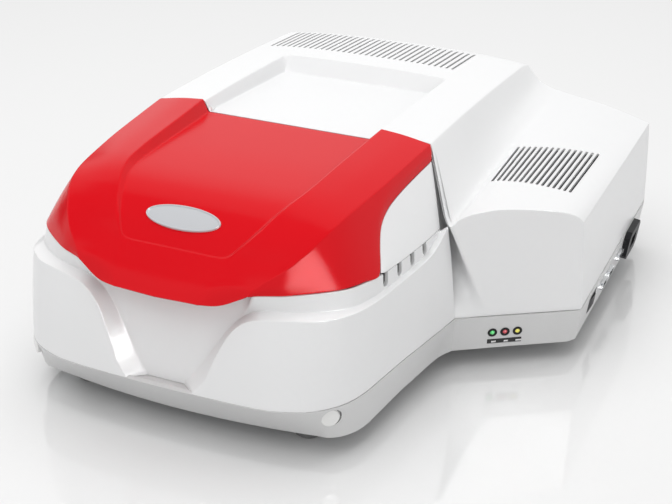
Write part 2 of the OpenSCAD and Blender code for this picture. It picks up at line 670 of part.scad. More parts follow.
cell = 12.7;
module cell_holder() {
    color(dark) place() difference() {
        union() {
            translate([-30, 78, tub_floor]) cube([60, 90, 8]);
            for (y = beam_ys) translate([-13, y - 13, tub_floor + 8])
                cube([26, 26, beam_z - tub_floor + 4]);
        }
        for (y = beam_ys) {
            translate([-cell / 2, y - cell / 2, tub_floor + 11]) cube([cell, cell, 60]);
            translate([-20, y, beam_z]) rotate([0, 90, 0]) cylinder(r = 3, h = 40);
        }
        for (x = [-22, 22]) translate([x, 122.5, tub_floor - 1]) cylinder(r = 2.6, h = 12);
    }
}
module detectors() {
    color(dark) place() for (y = beam_ys) translate([-tub_x - 4, y, beam_z]) rotate([0, -90, 0]) {
        cylinder(r = 16, h = 4);
        translate([0, 0, 4]) cylinder(r = 12.5, h = 26);
        translate([0, 0, 30]) cylinder(r = 9, h = 5);
    }
}
module fold_mirrors() {
    color(silver) place() for (y = beam_ys) {
        translate([139, y, beam_z]) rotate([0, 0, 45]) translate([-2.5, -15, -15]) cube([5, 30, 30]);
        translate([139, y, plate_z + plate_t]) cylinder(r = 6, h = beam_z - 13 - plate_z - plate_t);
    }
}

module bulkhead() {
    color(black) place() difference() {
        translate([0, 229, 0]) rotate([90, 0, 0]) linear_extrude(3)
            polygon([[-176, deck_z], [176, deck_z], [176, 194], [158, pivot_z], [-158, pivot_z],
                [-176, 194]]);
    }
}

// Hinge: brackets on the optics base, pins, and arms that reach forward under the tower's edge.
arm_x = 127;
arm_t = 6;
arm_r = 50;
arm_rest = 246;
arm_seat_z = 231;
module arm_wedge(a, b, r) {
    polygon(concat([[0, 0]], [for (k = [0:12]) r * [cos(mix(a, b, k / 12)), sin(mix(a, b, k / 12))]]));
}
module hinge_arms() {
    color(dark) place() for (side = [-1, 1]) translate([side * arm_x, pivot_y, pivot_z]) difference() {
        union() {
            translate([-arm_t / 2, 0, 0]) rotate([90, 0, 90]) linear_extrude(arm_t) {
                circle(r = pin_r + 5);
                rotate(arm_rest) translate([0, -4.5]) square([arm_r - 1, 9]);
                intersection() {
                    difference() {
                        circle(r = arm_r + 3.5, $fn = 96);
                        circle(r = arm_r - 3.5, $fn = 96);
                    }
                    arm_wedge(171, arm_rest + 5, 2 * arm_r);
                }
            }
            translate([-9.5, -58, arm_seat_z - pivot_z - 4]) cube([19, 17, 4]);
        }
        translate([-arm_t, 0, 0]) rotate([0, 90, 0]) cylinder(r = pin_r + pin_gap, h = 2 * arm_t);
    }
}
module hinge_brackets() {
    color(steel) place() for (side = [0, 1]) mirror([side, 0, 0]) difference() {
        union() {
            translate([arm_x - arm_t / 2 - 6, pivot_y - 12, optics_z]) cube([5, 24, pivot_z - optics_z]);
            translate([arm_x - arm_t / 2 - 6, pivot_y, pivot_z]) rotate([0, 90, 0])
                cylinder(r = 12, h = 5);
            translate([arm_x - arm_t / 2 - 26, pivot_y - 12, optics_z]) cube([24, 24, 4]);
        }
        translate([arm_x - arm_t / 2 - 8, pivot_y, pivot_z]) rotate([0, 90, 0])
            cylinder(r = pin_r, h = 10);
    }
}
module hinge_pins() {
    color(silver) place() for (side = [0, 1]) mirror([side, 0, 0])
        translate([arm_x, pivot_y, pivot_z]) rotate([0, 90, 0]) {
            translate([0, 0, -arm_t / 2 - 6]) cylinder(r = pin_r, h = arm_t + 6.5);
            translate([0, 0, arm_t / 2 + 0.5]) cylinder(r = pin_r + 3, h = 2.5);
        }
}

// Monochromator: cast box with the entrance and exit slits, the collimator and the turning grating.
mono_x = [-132, 40];
mono_y = [312, 520];
mono_h = 92;
module monochromator() {
    color(dark) place() difference() {
        union() {
            translate([mono_x[0], mono_y[0], optics_z])
                cube([mono_x[1] - mono_x[0], mono_y[1] - mono_y[0], mono_h]);
        }
        translate([mono_x[0] + 5, mono_y[0] + 5, optics_z + 8])
            cube([mono_x[1] - mono_x[0] - 10, mono_y[1] - mono_y[0] - 10, mono_h]);
        translate([grating_at[0], grating_at[1], base_z - 30]) cylinder(r = shaft_r + shaft_gap, h = 60);
        translate([slit_at[0][0], mono_y[0] - 2, beam_z]) rotate([-90, 0, 0]) cylinder(r = 7, h = 10);
        translate([mono_x[1] - 8, slit_at[1][1], beam_z]) rotate([0, 90, 0]) cylinder(r = 7, h = 10);
    }
}

module grating() {
    color([0.8, 0.82, 0.86]) place() translate([grating_at[0], grating_at[1], beam_z - 26])
        rotate([0, 0, 20]) {
        translate([-26, -3, 0]) cube([52, 9, 52]);
        translate([-20, 6, 0]) cube([40, 8, 40]);
    }
}
module grating_shaft() {
    color(steel) place() translate([grating_at[0], grating_at[1], 0]) {
        translate([0, 0, base_z - 20]) cylinder(r = shaft_r, h = beam_z - 26 - base_z + 20);
        translate([0, 0, optics_z + 8.3]) cylinder(r = 30, h = beam_z - 26 - optics_z - 8.3);
    }
}
module motor(p, size, top) {
    difference() {
        union() {
            translate([p[0] - size / 2, p[1] - size / 2, top - 34]) cube([size, size, 34]);
            translate([p[0], p[1], top - 38]) cylinder(r = size * 0.3, h = 5);
        }
        translate([p[0], p[1], top - 22]) cylinder(r = shaft_r + shaft_gap, h = 30);
    }
}
module grating_motor() {
    color(dark) place() motor(grating_at, 42, base_z);
}
module collimators() {
    color(silver) place() for (x = [-96, 2]) translate([x, mono_y[1] - 30, optics_z + 8]) {
        translate([-24, 8, 0]) cube([48, 8, 12]);
        translate([0, 12, beam_z - optics_z - 8]) rotate([90, 0, 0]) rotate_extrude()
            polygon([[0, 0], [30, 0], [30, 8], [27, 8], [0, 6.5]]);
    }
}
module slits() {
    color(steel) place() {
        for (p = slit_at) translate([p[0], p[1], beam_z]) rotate([0, 0, p[2]]) difference() {
            translate([-14, -3, -14]) cube([28, 3, 28]);
            translate([-0.6, -4, -6]) cube([1.2, 5, 12]);
        }
    }
}
module filter_wheel() {
    color(dark) place() translate([wheel_at[0], wheel_at[1], beam_z]) rotate([0, 90, 0]) {
        difference() {
            cylinder(r = 35, h = 4);
            for (a = [0:45:315]) rotate(a + 90) translate([24, 0, -1]) cylinder(r = 6.5, h = 6);
        }
        translate([0, 0, 3]) cylinder(r = 3, h = 22);
    }
}
module filter_motor() {
    color(dark) place() translate([wheel_at[0], wheel_at[1], beam_z]) difference() {
        union() {
            translate([8, -18, -18]) cube([34, 36, 36]);
            translate([8, -12, optics_z - beam_z]) cube([34, 24, beam_z - optics_z - 18]);
        }
        translate([2, 0, 0]) rotate([0, 90, 0]) cylinder(r = 3 + shaft_gap, h = 24);
    }
}
module beam_splitter() {
    color([0.75, 0.85, 0.88]) place() {
        translate([slit_at[0][0], 272, beam_z]) rotate([0, 0, 45]) translate([-18, -1.5, -20])
            cube([36, 3, 38]);
        translate([slit_at[0][0], 272, optics_z]) cylinder(r = 9, h = beam_z - 18 - optics_z);
    }
}
module relay_mirror() {
    color(silver) place() {
        translate([96, 262, beam_z]) rotate([0, 0, 45]) translate([-18, -3, -20]) cube([36, 6, 38]);
        translate([96, 262, optics_z]) cylinder(r = 8, h = beam_z - 18 - optics_z);
    }
}
module lamp_house() {
    color(steel) place() difference() {
        translate([lamp_x[0], lamp_y[0], optics_z])
            cube([lamp_x[1] - lamp_x[0], lamp_y[1] - lamp_y[0], 66]);
        translate([lamp_x[0] + 4, lamp_y[0] + 4, optics_z + 4])
            cube([lamp_x[1] - lamp_x[0] - 8, lamp_y[1] - lamp_y[0] - 8, 80]);
        translate([lamp_x[0] - 2, slit_at[1][1], beam_z]) rotate([0, 90, 0]) cylinder(r = 10, h = 10);
        for (z = [96:8:128]) translate([lamp_x[1] - 6, lamp_y[0] + 20, z])
            cube([10, lamp_y[1] - lamp_y[0] - 40, 3]);
        translate([turner_at[0], turner_at[1], base_z]) cylinder(r = shaft_r + shaft_gap, h = 20);
    }
}
module halogen_lamp() {
    color([0.9, 0.92, 0.9]) place() translate([turner_at[0], lamp_y[0] + 26, optics_z + 4]) {
        cylinder(r = 12, h = 18);
        rotate_extrude() polygon([[0, 17], [6, 17], [6, 44], [4, 49], [0, 51]]);
    }
}
module deuterium_lamp() {
    color([0.9, 0.92, 0.95]) place() translate([turner_at[0] + 36, turner_at[1], optics_z + 4]) {
        cylinder(r = 15.6, h = 6);
        rotate_extrude() polygon([[0, 5], [14, 5], [14, 52], [10, 57], [0, 58]]);
    }
}
module lamp_mirror() {
    color(silver) place() translate([turner_at[0], turner_at[1], 0]) {
        translate([0, 0, base_z - 20]) cylinder(r = shaft_r, h = beam_z - 14 - base_z + 20);
        translate([0, 0, optics_z + 4.3]) cylinder(r = 8, h = beam_z - 14 - optics_z - 4.3);
        rotate([0, 0, 45]) translate([-14, -2, beam_z - 15]) cube([28, 4, 29]);
    }
}
module mirror_motor() {
    color(dark) place() motor(turner_at, 36, base_z);
}

module power_supply() {
    color(steel) place() difference() {
        translate([62, 318, optics_z]) cube([82, 112, 46]);
        translate([64, 320, optics_z + 2]) cube([78, 108, 42]);
        for (k = [0:8]) translate([70, 328 + k * 11, optics_z + 40]) cube([66, 5, 10]);
    }
}
module power_stage() {
    color([0.2, 0.45, 0.25]) place() {
        translate([66, 322, optics_z + 2]) cube([74, 104, 2]);
        translate([72, 330, optics_z + 4]) cube([30, 34, 26]);
        for (y = [380, 402]) translate([84, y, optics_z + 4]) cylinder(r = 9, h = 30);
        translate([110, 334, optics_z + 4]) cube([6, 80, 30]);
    }
}
module main_board() {
    color([0.1, 0.4, 0.2]) place() {
        translate([-78, 62, plate_z + plate_t + 9]) cube([156, 126, 1.6]);
        for (x = [-72, 72], y = [68, 182]) translate([x, y, plate_z + plate_t]) cylinder(r = 3, h = 9);
        for (p = [[-50, 90], [0, 90], [30, 140]])
            translate([p[0], p[1], plate_z + plate_t + 10.6]) cube([24, 24, 3]);
        translate([-60, 150, plate_z + plate_t + 10.6]) cube([50, 14, 10]);
    }
}

// Rear: panel inside the housing's edge, with the fan behind its guard.
fan_at = [-92, 128];
fan_size = 80;
module rear_panel() {
    inner = lifted(drape_rows, -wall - 0.5);
    row = inner[len(inner) - 1];
    color(white) place() difference() {
        translate([0, rear_y - 4, 0]) rotate([90, 0, 0]) linear_extrude(2.5)
            polygon(concat([[-198, house_z], [312, house_z]],
                [for (j = [len(row) - 2:-1:1]) [row[j][0], row[j][2]]]));
        translate([fan_at[0], rear_y - 10, fan_at[1]]) rotate([-90, 0, 0])
            cylinder(r = fan_size / 2 - 2, h = 20);
    }
}
module fan_frame() {
    color(black) place() translate([fan_at[0], rear_y - 6.5, fan_at[1]]) rotate([90, 0, 0]) {
        difference() {
            translate([-fan_size / 2, -fan_size / 2, 0]) cube([fan_size, fan_size, 25]);
            translate([0, 0, -1]) cylinder(r = fan_size / 2 - 2, h = 27);
        }
        difference() {
            union() {
                translate([0, 0, 20]) cylinder(r = 18, h = 5);
                for (a = [0:90:270]) rotate(a + 45) translate([0, -2.5, 21])
                    cube([fan_size / 2 - 1, 5, 4]);
            }
        }
        translate([0, 0, 5]) cylinder(r = 2.5, h = 16);
    }
}
module fan_rotor() {
    color(dark) place() translate([fan_at[0], rear_y - 6.5, fan_at[1]]) rotate([90, 0, 0]) difference() {
        union() {
            translate([0, 0, 4]) cylinder(r = 17, h = 15.5);
            intersection() {
                for (a = [0:360 / 7:359]) rotate(a) translate([0, 0, 11.5]) rotate([38, 0, 0])
                    translate([12, -8.5, -0.9]) cube([30, 17, 1.8]);
                translate([0, 0, 4.5]) cylinder(r = fan_size / 2 - 3.5, h = 14.5);
            }
        }
        translate([0, 0, -1]) cylinder(r = 2.5 + shaft_gap, h = 30);
    }
}
module fan_guard() {
    color(silver) place() translate([fan_at[0], rear_y - 4, fan_at[1]]) rotate([-90, 0, 0]) {
        for (r = [10:8:42]) difference() {
            translate([0, 0, 1]) cylinder(r = r + 1, h = 2);
            cylinder(r = r - 1, h = 4);
        }
        for (a = [45, 135]) rotate(a) translate([-fan_size * 0.65, -1.5, 0])
            cube([fan_size * 1.3, 3, 1.6]);
        for (a = [45:90:315]) rotate(a) translate([fan_size * 0.6, 0, 0]) cylinder(r = 4, h = 2.5);
    }
}

// Hood trim: blank oval badge in a shallow pocket, and the liner that closes on the chamber's seal.
badge_at = [-4, 26, 211];
badge_slope = 30;
function ellipse(a, b) = [for (k = [0:47]) [a * cos(k * 7.5), b * sin(k * 7.5)]];
module on_badge() {
    translate(badge_at) rotate([badge_slope, 0, 0]) children();
}
module hood_badge() {
    color(silver) place() on_badge() difference() {
        translate([0, 0, -1.2]) linear_extrude(3.2) polygon(ellipse(badge_a, badge_b));
        translate([0, 0, 1.3]) linear_extrude(2) polygon(ellipse(badge_a - 2, badge_b - 2));
    }
}
module hood_liner() {
    color(black) place() difference() {
        translate([0, 0, liner_z]) linear_extrude(26) liner_outline(0);
        translate([0, 0, liner_z + liner_t]) linear_extrude(40) liner_outline(liner_t);
    }
}
module liner_outline(d) {
    x = tub_x + 14 - d;
    y0 = tub_y[0] - 13 + d;
    y1 = tub_y[1] + 8 - d;
    r = 20 - d;
    polygon(concat(
        [for (k = [0:6]) [x - r + r * sin(k * 15), y0 + r - r * cos(k * 15)]],
        [[x, y1], [-x, y1]],
        [for (k = [6:-1:0]) [-x + r - r * sin(k * 15), y0 + r - r * cos(k * 15)]]));
}
module chamber_seal() {
    color([0.2, 0.2, 0.2]) place() difference() {
        translate([-tub_x - 9, tub_y[0] - 9, deck_z]) cube([2 * tub_x + 18, tub_y[1] - tub_y[0] + 16, 3]);
        translate([-tub_x - 2, tub_y[0] - 2, deck_z - 1])
            cube([2 * tub_x + 4, tub_y[1] - tub_y[0] + 4, 6]);
    }
}

plinth();
bottom_plate();
rubber_feet();
corner_plugs();
led_bezels();
led_green();
led_red();
led_yellow();
led_label();
switch_frame();
power_rocker();
serial_ports();
port_pins();
mains_inlet();
front_bumper();
housing_cover();
lamp_front();
rear_panel();
hood();
hood_cheeks();
hood_badge();
hood_liner();
hinge_arms();
hinge_brackets();
hinge_pins();
sample_tub();
sample_deck();
chamber_seal();
beam_windows();
cell_holder();
detectors();
fold_mirrors();
bulkhead();
optics_base();
monochromator();
slits();
collimators();
grating();
grating_shaft();
grating_motor();
filter_wheel();
filter_motor();
beam_splitter();
relay_mirror();
lamp_house();
halogen_lamp();
deuterium_lamp();
lamp_mirror();
mirror_motor();
power_supply();
power_stage();
main_board();
fan_frame();
fan_rotor();
fan_guard();
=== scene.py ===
import math
import bpy
import bmesh
import numpy as np
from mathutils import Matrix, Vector


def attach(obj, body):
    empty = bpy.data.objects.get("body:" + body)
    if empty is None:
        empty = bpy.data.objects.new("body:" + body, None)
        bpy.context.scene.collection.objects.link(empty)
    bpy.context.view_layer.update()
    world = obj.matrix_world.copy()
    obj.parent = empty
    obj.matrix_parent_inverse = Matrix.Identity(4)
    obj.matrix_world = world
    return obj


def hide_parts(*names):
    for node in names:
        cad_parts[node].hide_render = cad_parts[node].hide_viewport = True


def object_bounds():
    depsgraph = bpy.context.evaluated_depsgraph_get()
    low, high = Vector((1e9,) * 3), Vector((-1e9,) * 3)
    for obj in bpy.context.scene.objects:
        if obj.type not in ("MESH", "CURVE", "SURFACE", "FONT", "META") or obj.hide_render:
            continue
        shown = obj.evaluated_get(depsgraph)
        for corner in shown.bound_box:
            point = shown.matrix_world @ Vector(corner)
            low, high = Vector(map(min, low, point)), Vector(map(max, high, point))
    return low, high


# Bench spectrophotometer. The CAD model is the frame; this script gives it moulded skins, finishes,
# small trim, a studio and the camera. Places are in millimetres in the body's drawing frame, where
# x = 0 is the hood's centre line and y = 0 is at the plinth's front corners.

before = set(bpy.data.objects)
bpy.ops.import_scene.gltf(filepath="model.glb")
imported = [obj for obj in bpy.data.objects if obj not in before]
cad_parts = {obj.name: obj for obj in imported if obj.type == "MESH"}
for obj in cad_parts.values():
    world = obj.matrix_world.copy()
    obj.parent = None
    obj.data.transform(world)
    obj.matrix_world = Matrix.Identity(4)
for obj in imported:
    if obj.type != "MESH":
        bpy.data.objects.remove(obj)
cadBox = [[float(c) for c in corner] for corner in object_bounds()]
print("frame loaded")

# the drawing frame's origin, from the lamp wing's right side and the rear face
body = {"right": 328.0, "left": -213.0, "rear": 591.0, "front": -42.5, "plinthTop": 61.0, "seam": 61.6}
drawingOrigin = np.array([body["right"] - cadBox[1][0] * 1000, body["rear"] - cadBox[1][1] * 1000, 0.0])


# Maths on whole arrays

def spline(points, at):
    # each span between neighbours is a cubic whose end slopes are half the chord between the points
    # on either side of it; "at" counts the points from 0
    p = np.asarray(points, float)
    at = np.asarray(at, float)
    i = np.clip(np.floor(at).astype(int), 0, len(p) - 2)
    t = (at - i).reshape((-1,) + (1,) * (p.ndim - 1))
    a, b, c, d = p[np.maximum(i - 1, 0)], p[i], p[i + 1], p[np.minimum(i + 2, len(p) - 1)]
    return b + 0.5 * t * (c - a + t * (2 * a - 5 * b + 4 * c - d + t * (3 * (b - c) + d - a)))


def steps(count, tight=0.0):
    # count + 1 even steps from 0 to 1, and one more close to each end if tight is above 0
    even = np.linspace(0, 1, count + 1)
    return np.unique(np.concatenate([even, [tight, 1 - tight]])) if tight else even


def creased(net, stops, counts, tights):
    # the net's first axis splined piece by piece between the stops, so that a stop keeps its corner
    runs = []
    for low, high, count, tight in zip(stops, stops[1:], counts, tights):
        runs.append(spline(net[low:high + 1], steps(count, tight) * (high - low))[:-1])
    runs.append(np.asarray(net[stops[-1]])[None])
    return np.concatenate(runs)


def mirrored(half):
    # a row that starts on the centre line, with its mirror image put before it
    other = half[:, :0:-1] * np.array([-1, 1, 1])
    return np.concatenate([other, half], axis=1)


def mix(a, b, t):
    return a + (b - a) * t


# Meshes

def added(name, data):
    # an object with this data, put in the scene
    made = bpy.data.objects.new(name, data)
    bpy.context.scene.collection.objects.link(made)
    return made


def fromPoints(name, points, faces):
    # a mesh from points in the drawing frame
    mesh = bpy.data.meshes.new(name)
    mesh.from_pydata(((points - drawingOrigin) / 1000).tolist(), [], faces)
    return mesh


def toMesh(name, grids, weld=0.02):
    # each grid of points becomes rows of four-sided faces, and grids that share an edge are welded
    points, faces, start = [], [], 0
    for grid in grids:
        rows, cols = grid.shape[:2]
        number = np.arange(rows * cols).reshape(rows, cols) + start
        corners = [number[:-1, :-1], number[:-1, 1:], number[1:, 1:], number[1:, :-1]]
        faces.append(np.stack(corners, -1).reshape(-1, 4))
        points.append(grid.reshape(-1, 3))
        start += rows * cols
    mesh = fromPoints(name, np.concatenate(points), np.concatenate(faces).tolist())
    work = bmesh.new()
    work.from_mesh(mesh)
    bmesh.ops.remove_doubles(work, verts=work.verts, dist=weld / 1000)
    bmesh.ops.dissolve_degenerate(work, dist=1e-6, edges=work.edges)
    work.to_mesh(mesh)
    work.free()
    return added(name, mesh)


def modifier(piece, kind, **settings):
    made = piece.modifiers.new(kind.lower(), kind)
    for key, value in settings.items():
        setattr(made, key, value)


def settle(piece, sharp=32):
    # the modifiers are made part of the mesh, and only edges sharper than the angle stay hard
    made = bpy.data.meshes.new_from_object(piece.evaluated_get(bpy.context.evaluated_depsgraph_get()))
    piece.modifiers.clear()
    piece.data = made
    made.shade_smooth()
    made.set_sharp_from_angle(angle=math.radians(sharp))


def skin(name, grids, wall, body, replaces, subdivide=1):
    # a moulded skin: the outer surface, its wall to the inside and one round of subdivision; one that
    # replaces nothing yet is worked on further before it rides
    piece = toMesh(name, grids)
    modifier(piece, "SOLIDIFY", thickness=wall / 1000, offset=-1, use_even_offset=True)
    if subdivide:
        modifier(piece, "SUBSURF", levels=subdivide, render_levels=subdivide)
    settle(piece)
    if replaces:
        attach(piece, body)
        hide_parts(*replaces)
    return piece


def prism(name, outline, low, high, place):
    # an outline in a plane's two axes, run from low to high along the third; place turns that into
    # points of the drawing frame
    count = len(outline)
    flat = np.asarray(outline, float)
    ends = [np.column_stack([flat, np.full(count, level)]) for level in (low, high)]
    sides = [[k, (k + 1) % count, count + (k + 1) % count, count + k] for k in range(count)]
    caps = [list(range(count))[::-1], list(range(count, 2 * count))]
    mesh = fromPoints(name, place(np.concatenate(ends)), sides + caps)
    work = bmesh.new()
    work.from_mesh(mesh)
    bmesh.ops.recalc_face_normals(work, faces=work.faces)
    work.to_mesh(mesh)
    work.free()
    return added(name, mesh)


def seat(origin, turn, lean=0.0):
    # a frame on a wall, for prism(): its outline lies in x along the wall and z up it, and it is run
    # along y into the wall; turn and lean are in degrees
    t, k = math.radians(turn), math.radians(lean)

    def place(p):
        x, z, y = p.T
        inward, up = y * math.cos(k) - z * math.sin(k), y * math.sin(k) + z * math.cos(k)
        flat = [x * math.cos(t) - inward * math.sin(t), x * math.sin(t) + inward * math.cos(t), up]
        return np.column_stack(flat) + np.asarray(origin, float)
    return place


def box(width, height):
    # a rectangle round the origin
    x, y = width / 2, height / 2
    return [(-x, -y), (x, -y), (x, y), (-x, y)]


def disc(radius, count=64):
    a = np.arange(count) * 2 * math.pi / count
    return np.column_stack([radius * np.cos(a), radius * np.sin(a)])


def joined(name, pieces):
    # several meshes as one piece
    together = bmesh.new()
    for piece in pieces:
        together.from_mesh(piece.data)
        bpy.data.objects.remove(piece)
    mesh = bpy.data.meshes.new(name)
    together.to_mesh(mesh)
    together.free()
    return added(name, mesh)


def cut(piece, cutters):
    # the cutters are joined into one and taken out of the piece with the exact solver
    tool = joined("cutters", cutters)
    modifier(piece, "BOOLEAN", operation="DIFFERENCE", solver="EXACT", object=tool)
    settle(piece)
    bpy.data.objects.remove(tool)


# Shader maths: a Wire is a socket that adds Math nodes when it is used in an expression

class Wire:
    def __init__(self, finish, socket):
        self.finish, self.socket = finish, socket

    def maths(self, how, *values):
        return self.finish.node("ShaderNodeMath", {"operation": how}, list(values))

    def __add__(self, other):
        return self.maths("ADD", self, other)

    def __sub__(self, other):
        return self.maths("SUBTRACT", self, other)

    def __rsub__(self, other):
        return self.maths("SUBTRACT", other, self)

    def __mul__(self, other):
        return self.maths("MULTIPLY", self, other)

    __radd__ = __add__
    __rmul__ = __mul__


class Finish:
    # the nodes of a material or a world being built; node() adds any node and gives one of its
    # outputs as a Wire
    def __init__(self, name, owners=bpy.data.materials):
        self.made = owners.new(name)
        self.made.use_nodes = True
        self.tree = self.made.node_tree
        self.tree.nodes.clear()

    def node(self, kind, settings=None, sockets=None, out=0):
        made = self.tree.nodes.new(kind)
        for key, value in (settings or {}).items():
            setattr(made, key, value)
        named = sockets.items() if isinstance(sockets, dict) else enumerate(sockets or [])
        for key, value in named:
            if isinstance(value, Wire):
                self.tree.links.new(value.socket, made.inputs[key])
            else:
                made.inputs[key].default_value = value
        return Wire(self, made.outputs[out]) if len(made.outputs) else None

    def spot(self):
        # the place on the object, in its own coordinates
        return self.node("ShaderNodeTexCoord", out="Object")

    def noise(self, scale, detail=3.0, rough=0.5, stretch=(1, 1, 1)):
        drawn = self.node("ShaderNodeMapping", None, {"Vector": self.spot(), "Scale": stretch})
        return self.node("ShaderNodeTexNoise", None, {"Vector": drawn, "Scale": scale,
                                                      "Detail": detail, "Roughness": rough})

    def blend(self, amount, first, second):
        return self.node("ShaderNodeMix", {"data_type": "RGBA"}, {0: amount, 6: first, 7: second}, out=2)

    def falling(self, value, low, high):
        # 1 up to low and 0 from high on, with a smooth fall between them
        return self.node("ShaderNodeMapRange", {"interpolation_type": "SMOOTHSTEP"},
                         [value, low, high, 1.0, 0.0])

    def bump(self, height, strength, distance, **under):
        sockets = {"Height": height, "Strength": strength, "Distance": distance, **under}
        return self.node("ShaderNodeBump", None, sockets)

    def shown(self, shader, output="ShaderNodeOutputMaterial"):
        self.node(output, None, {"Surface": shader})
        return self.made

    def done(self, **sockets):
        named = {key.replace("_", " "): value for key, value in sockets.items()}
        return self.shown(self.node("ShaderNodeBsdfPrincipled", None, named))


def rgba(colour, gain=1.0):
    return tuple(c * gain for c in colour) + (1.0,)


# how deep each kind of grain is, in metres
grainDepth = {"plastic": 0.00012, "metal": 0.0001, "paint": 0.0002}

# the shallow step that bounds the hood's pan, in millimetres: across the front, up both sides, which
# lean outwards from sideFrom on, and a round corner between them; it fades out towards the rear
panStep = {"front": -1.0, "side": 61.0, "sideFrom": 2.0, "sideGrowth": 0.64, "sideShare": 0.85,
           "corner": 14.0, "half": 1.2, "fade": (24.0, 42.0), "depth": 0.8}


def moulded(name, colour, rough=0.35, coat=0.0, grain=0.12, grainSize=1400, shift=0.04, coatRough=0.05,
            gloss=0.5):
    # injection-moulded plastic: a fine even grain, a slow drift of shade and slight handling marks
    f = Finish(name)
    drift = f.noise(7)
    marks = f.noise(60, 5, 0.6)
    fine = f.noise(grainSize, 2)
    base = f.blend(drift, rgba(colour, 1 - shift), rgba(colour, 1 + shift * 0.4))
    return f.done(Base_Color=base, Roughness=rough + (marks - 0.5) * (0.18 * rough), Coat_Weight=coat,
                  Coat_Roughness=coatRough, Specular_IOR_Level=gloss,
                  Normal=f.bump(fine, grain, grainDepth["plastic"]))


def hoodRed(name, colour, rough=0.2, gloss=0.14):
    # glossy red, with the step that bounds the hood's pan
    f = Finish(name)
    base = f.blend(f.noise(7), rgba(colour, 0.97), rgba(colour, 1.02))
    x, y = [f.node("ShaderNodeSeparateXYZ", None, [f.spot()], out=k) * 1000 + float(drawingOrigin[k])
            for k in (0, 1)]
    halfWidth = panStep["side"] + (y - panStep["sideFrom"]) * panStep["sideGrowth"]
    side = (halfWidth - f.node("ShaderNodeMath", {"operation": "ABSOLUTE"}, [x])) * panStep["sideShare"]
    inside = f.node("ShaderNodeMath", {"operation": "SMOOTH_MIN"},
                    [y - panStep["front"], side, panStep["corner"]])
    step = f.falling(inside, -panStep["half"], panStep["half"]) * f.falling(y, *panStep["fade"])
    fine = f.bump(f.noise(700, 2), 0.03, grainDepth["plastic"])
    return f.done(Base_Color=base, Roughness=rough, Specular_IOR_Level=gloss,
                  Normal=f.bump(step, 1.0, panStep["depth"] / 1000, Normal=fine))


def metal(name, colour, rough=0.3, lines=(1, 1, 40), scale=90, depth=0.15):
    # brushed or turned metal: noise drawn out along one direction drives roughness and a faint bump
    f = Finish(name)
    streak = f.noise(scale, 4, 0.6, lines)
    base = f.blend(f.noise(12), rgba(colour, 0.92), rgba(colour, 1.04))
    return f.done(Base_Color=base, Metallic=1.0, Roughness=rough + (streak - 0.5) * 0.22,
                  Normal=f.bump(streak, depth, grainDepth["metal"]))


def coated(name, colour, rough=0.5, scale=900, depth=0.25):
    # powder coat or anodising: fine orange-peel dimples with a soft drift of shade
    f = Finish(name)
    peel = f.node("ShaderNodeTexVoronoi", None, {"Vector": f.spot(), "Scale": scale})
    cloud = f.noise(9)
    base = f.blend(cloud, rgba(colour, 0.86), rgba(colour, 1.08))
    return f.done(Base_Color=base, Roughness=rough + (cloud - 0.5) * 0.12,
                  Normal=f.bump(peel, depth, grainDepth["paint"]))


def clear(name, colour, rough=0.03):
    # optical glass and quartz with a trace of dust in the roughness
    f = Finish(name)
    dust = f.noise(160, 5, 0.7)
    return f.done(Base_Color=rgba(colour), Roughness=rough + dust * 0.05, Transmission_Weight=0.85,
                  IOR=1.46)


def lit(name, colour, glow, strength):
    # a small light: a coloured lens with a faintly uneven glow
    f = Finish(name)
    spots = f.noise(500, 2)
    base = f.blend(spots, rgba(colour, 0.8), rgba(colour))
    return f.done(Base_Color=base, Roughness=0.15 + spots * 0.05, Emission_Color=rgba(glow),
                  Emission_Strength=strength, Coat_Weight=0.6)


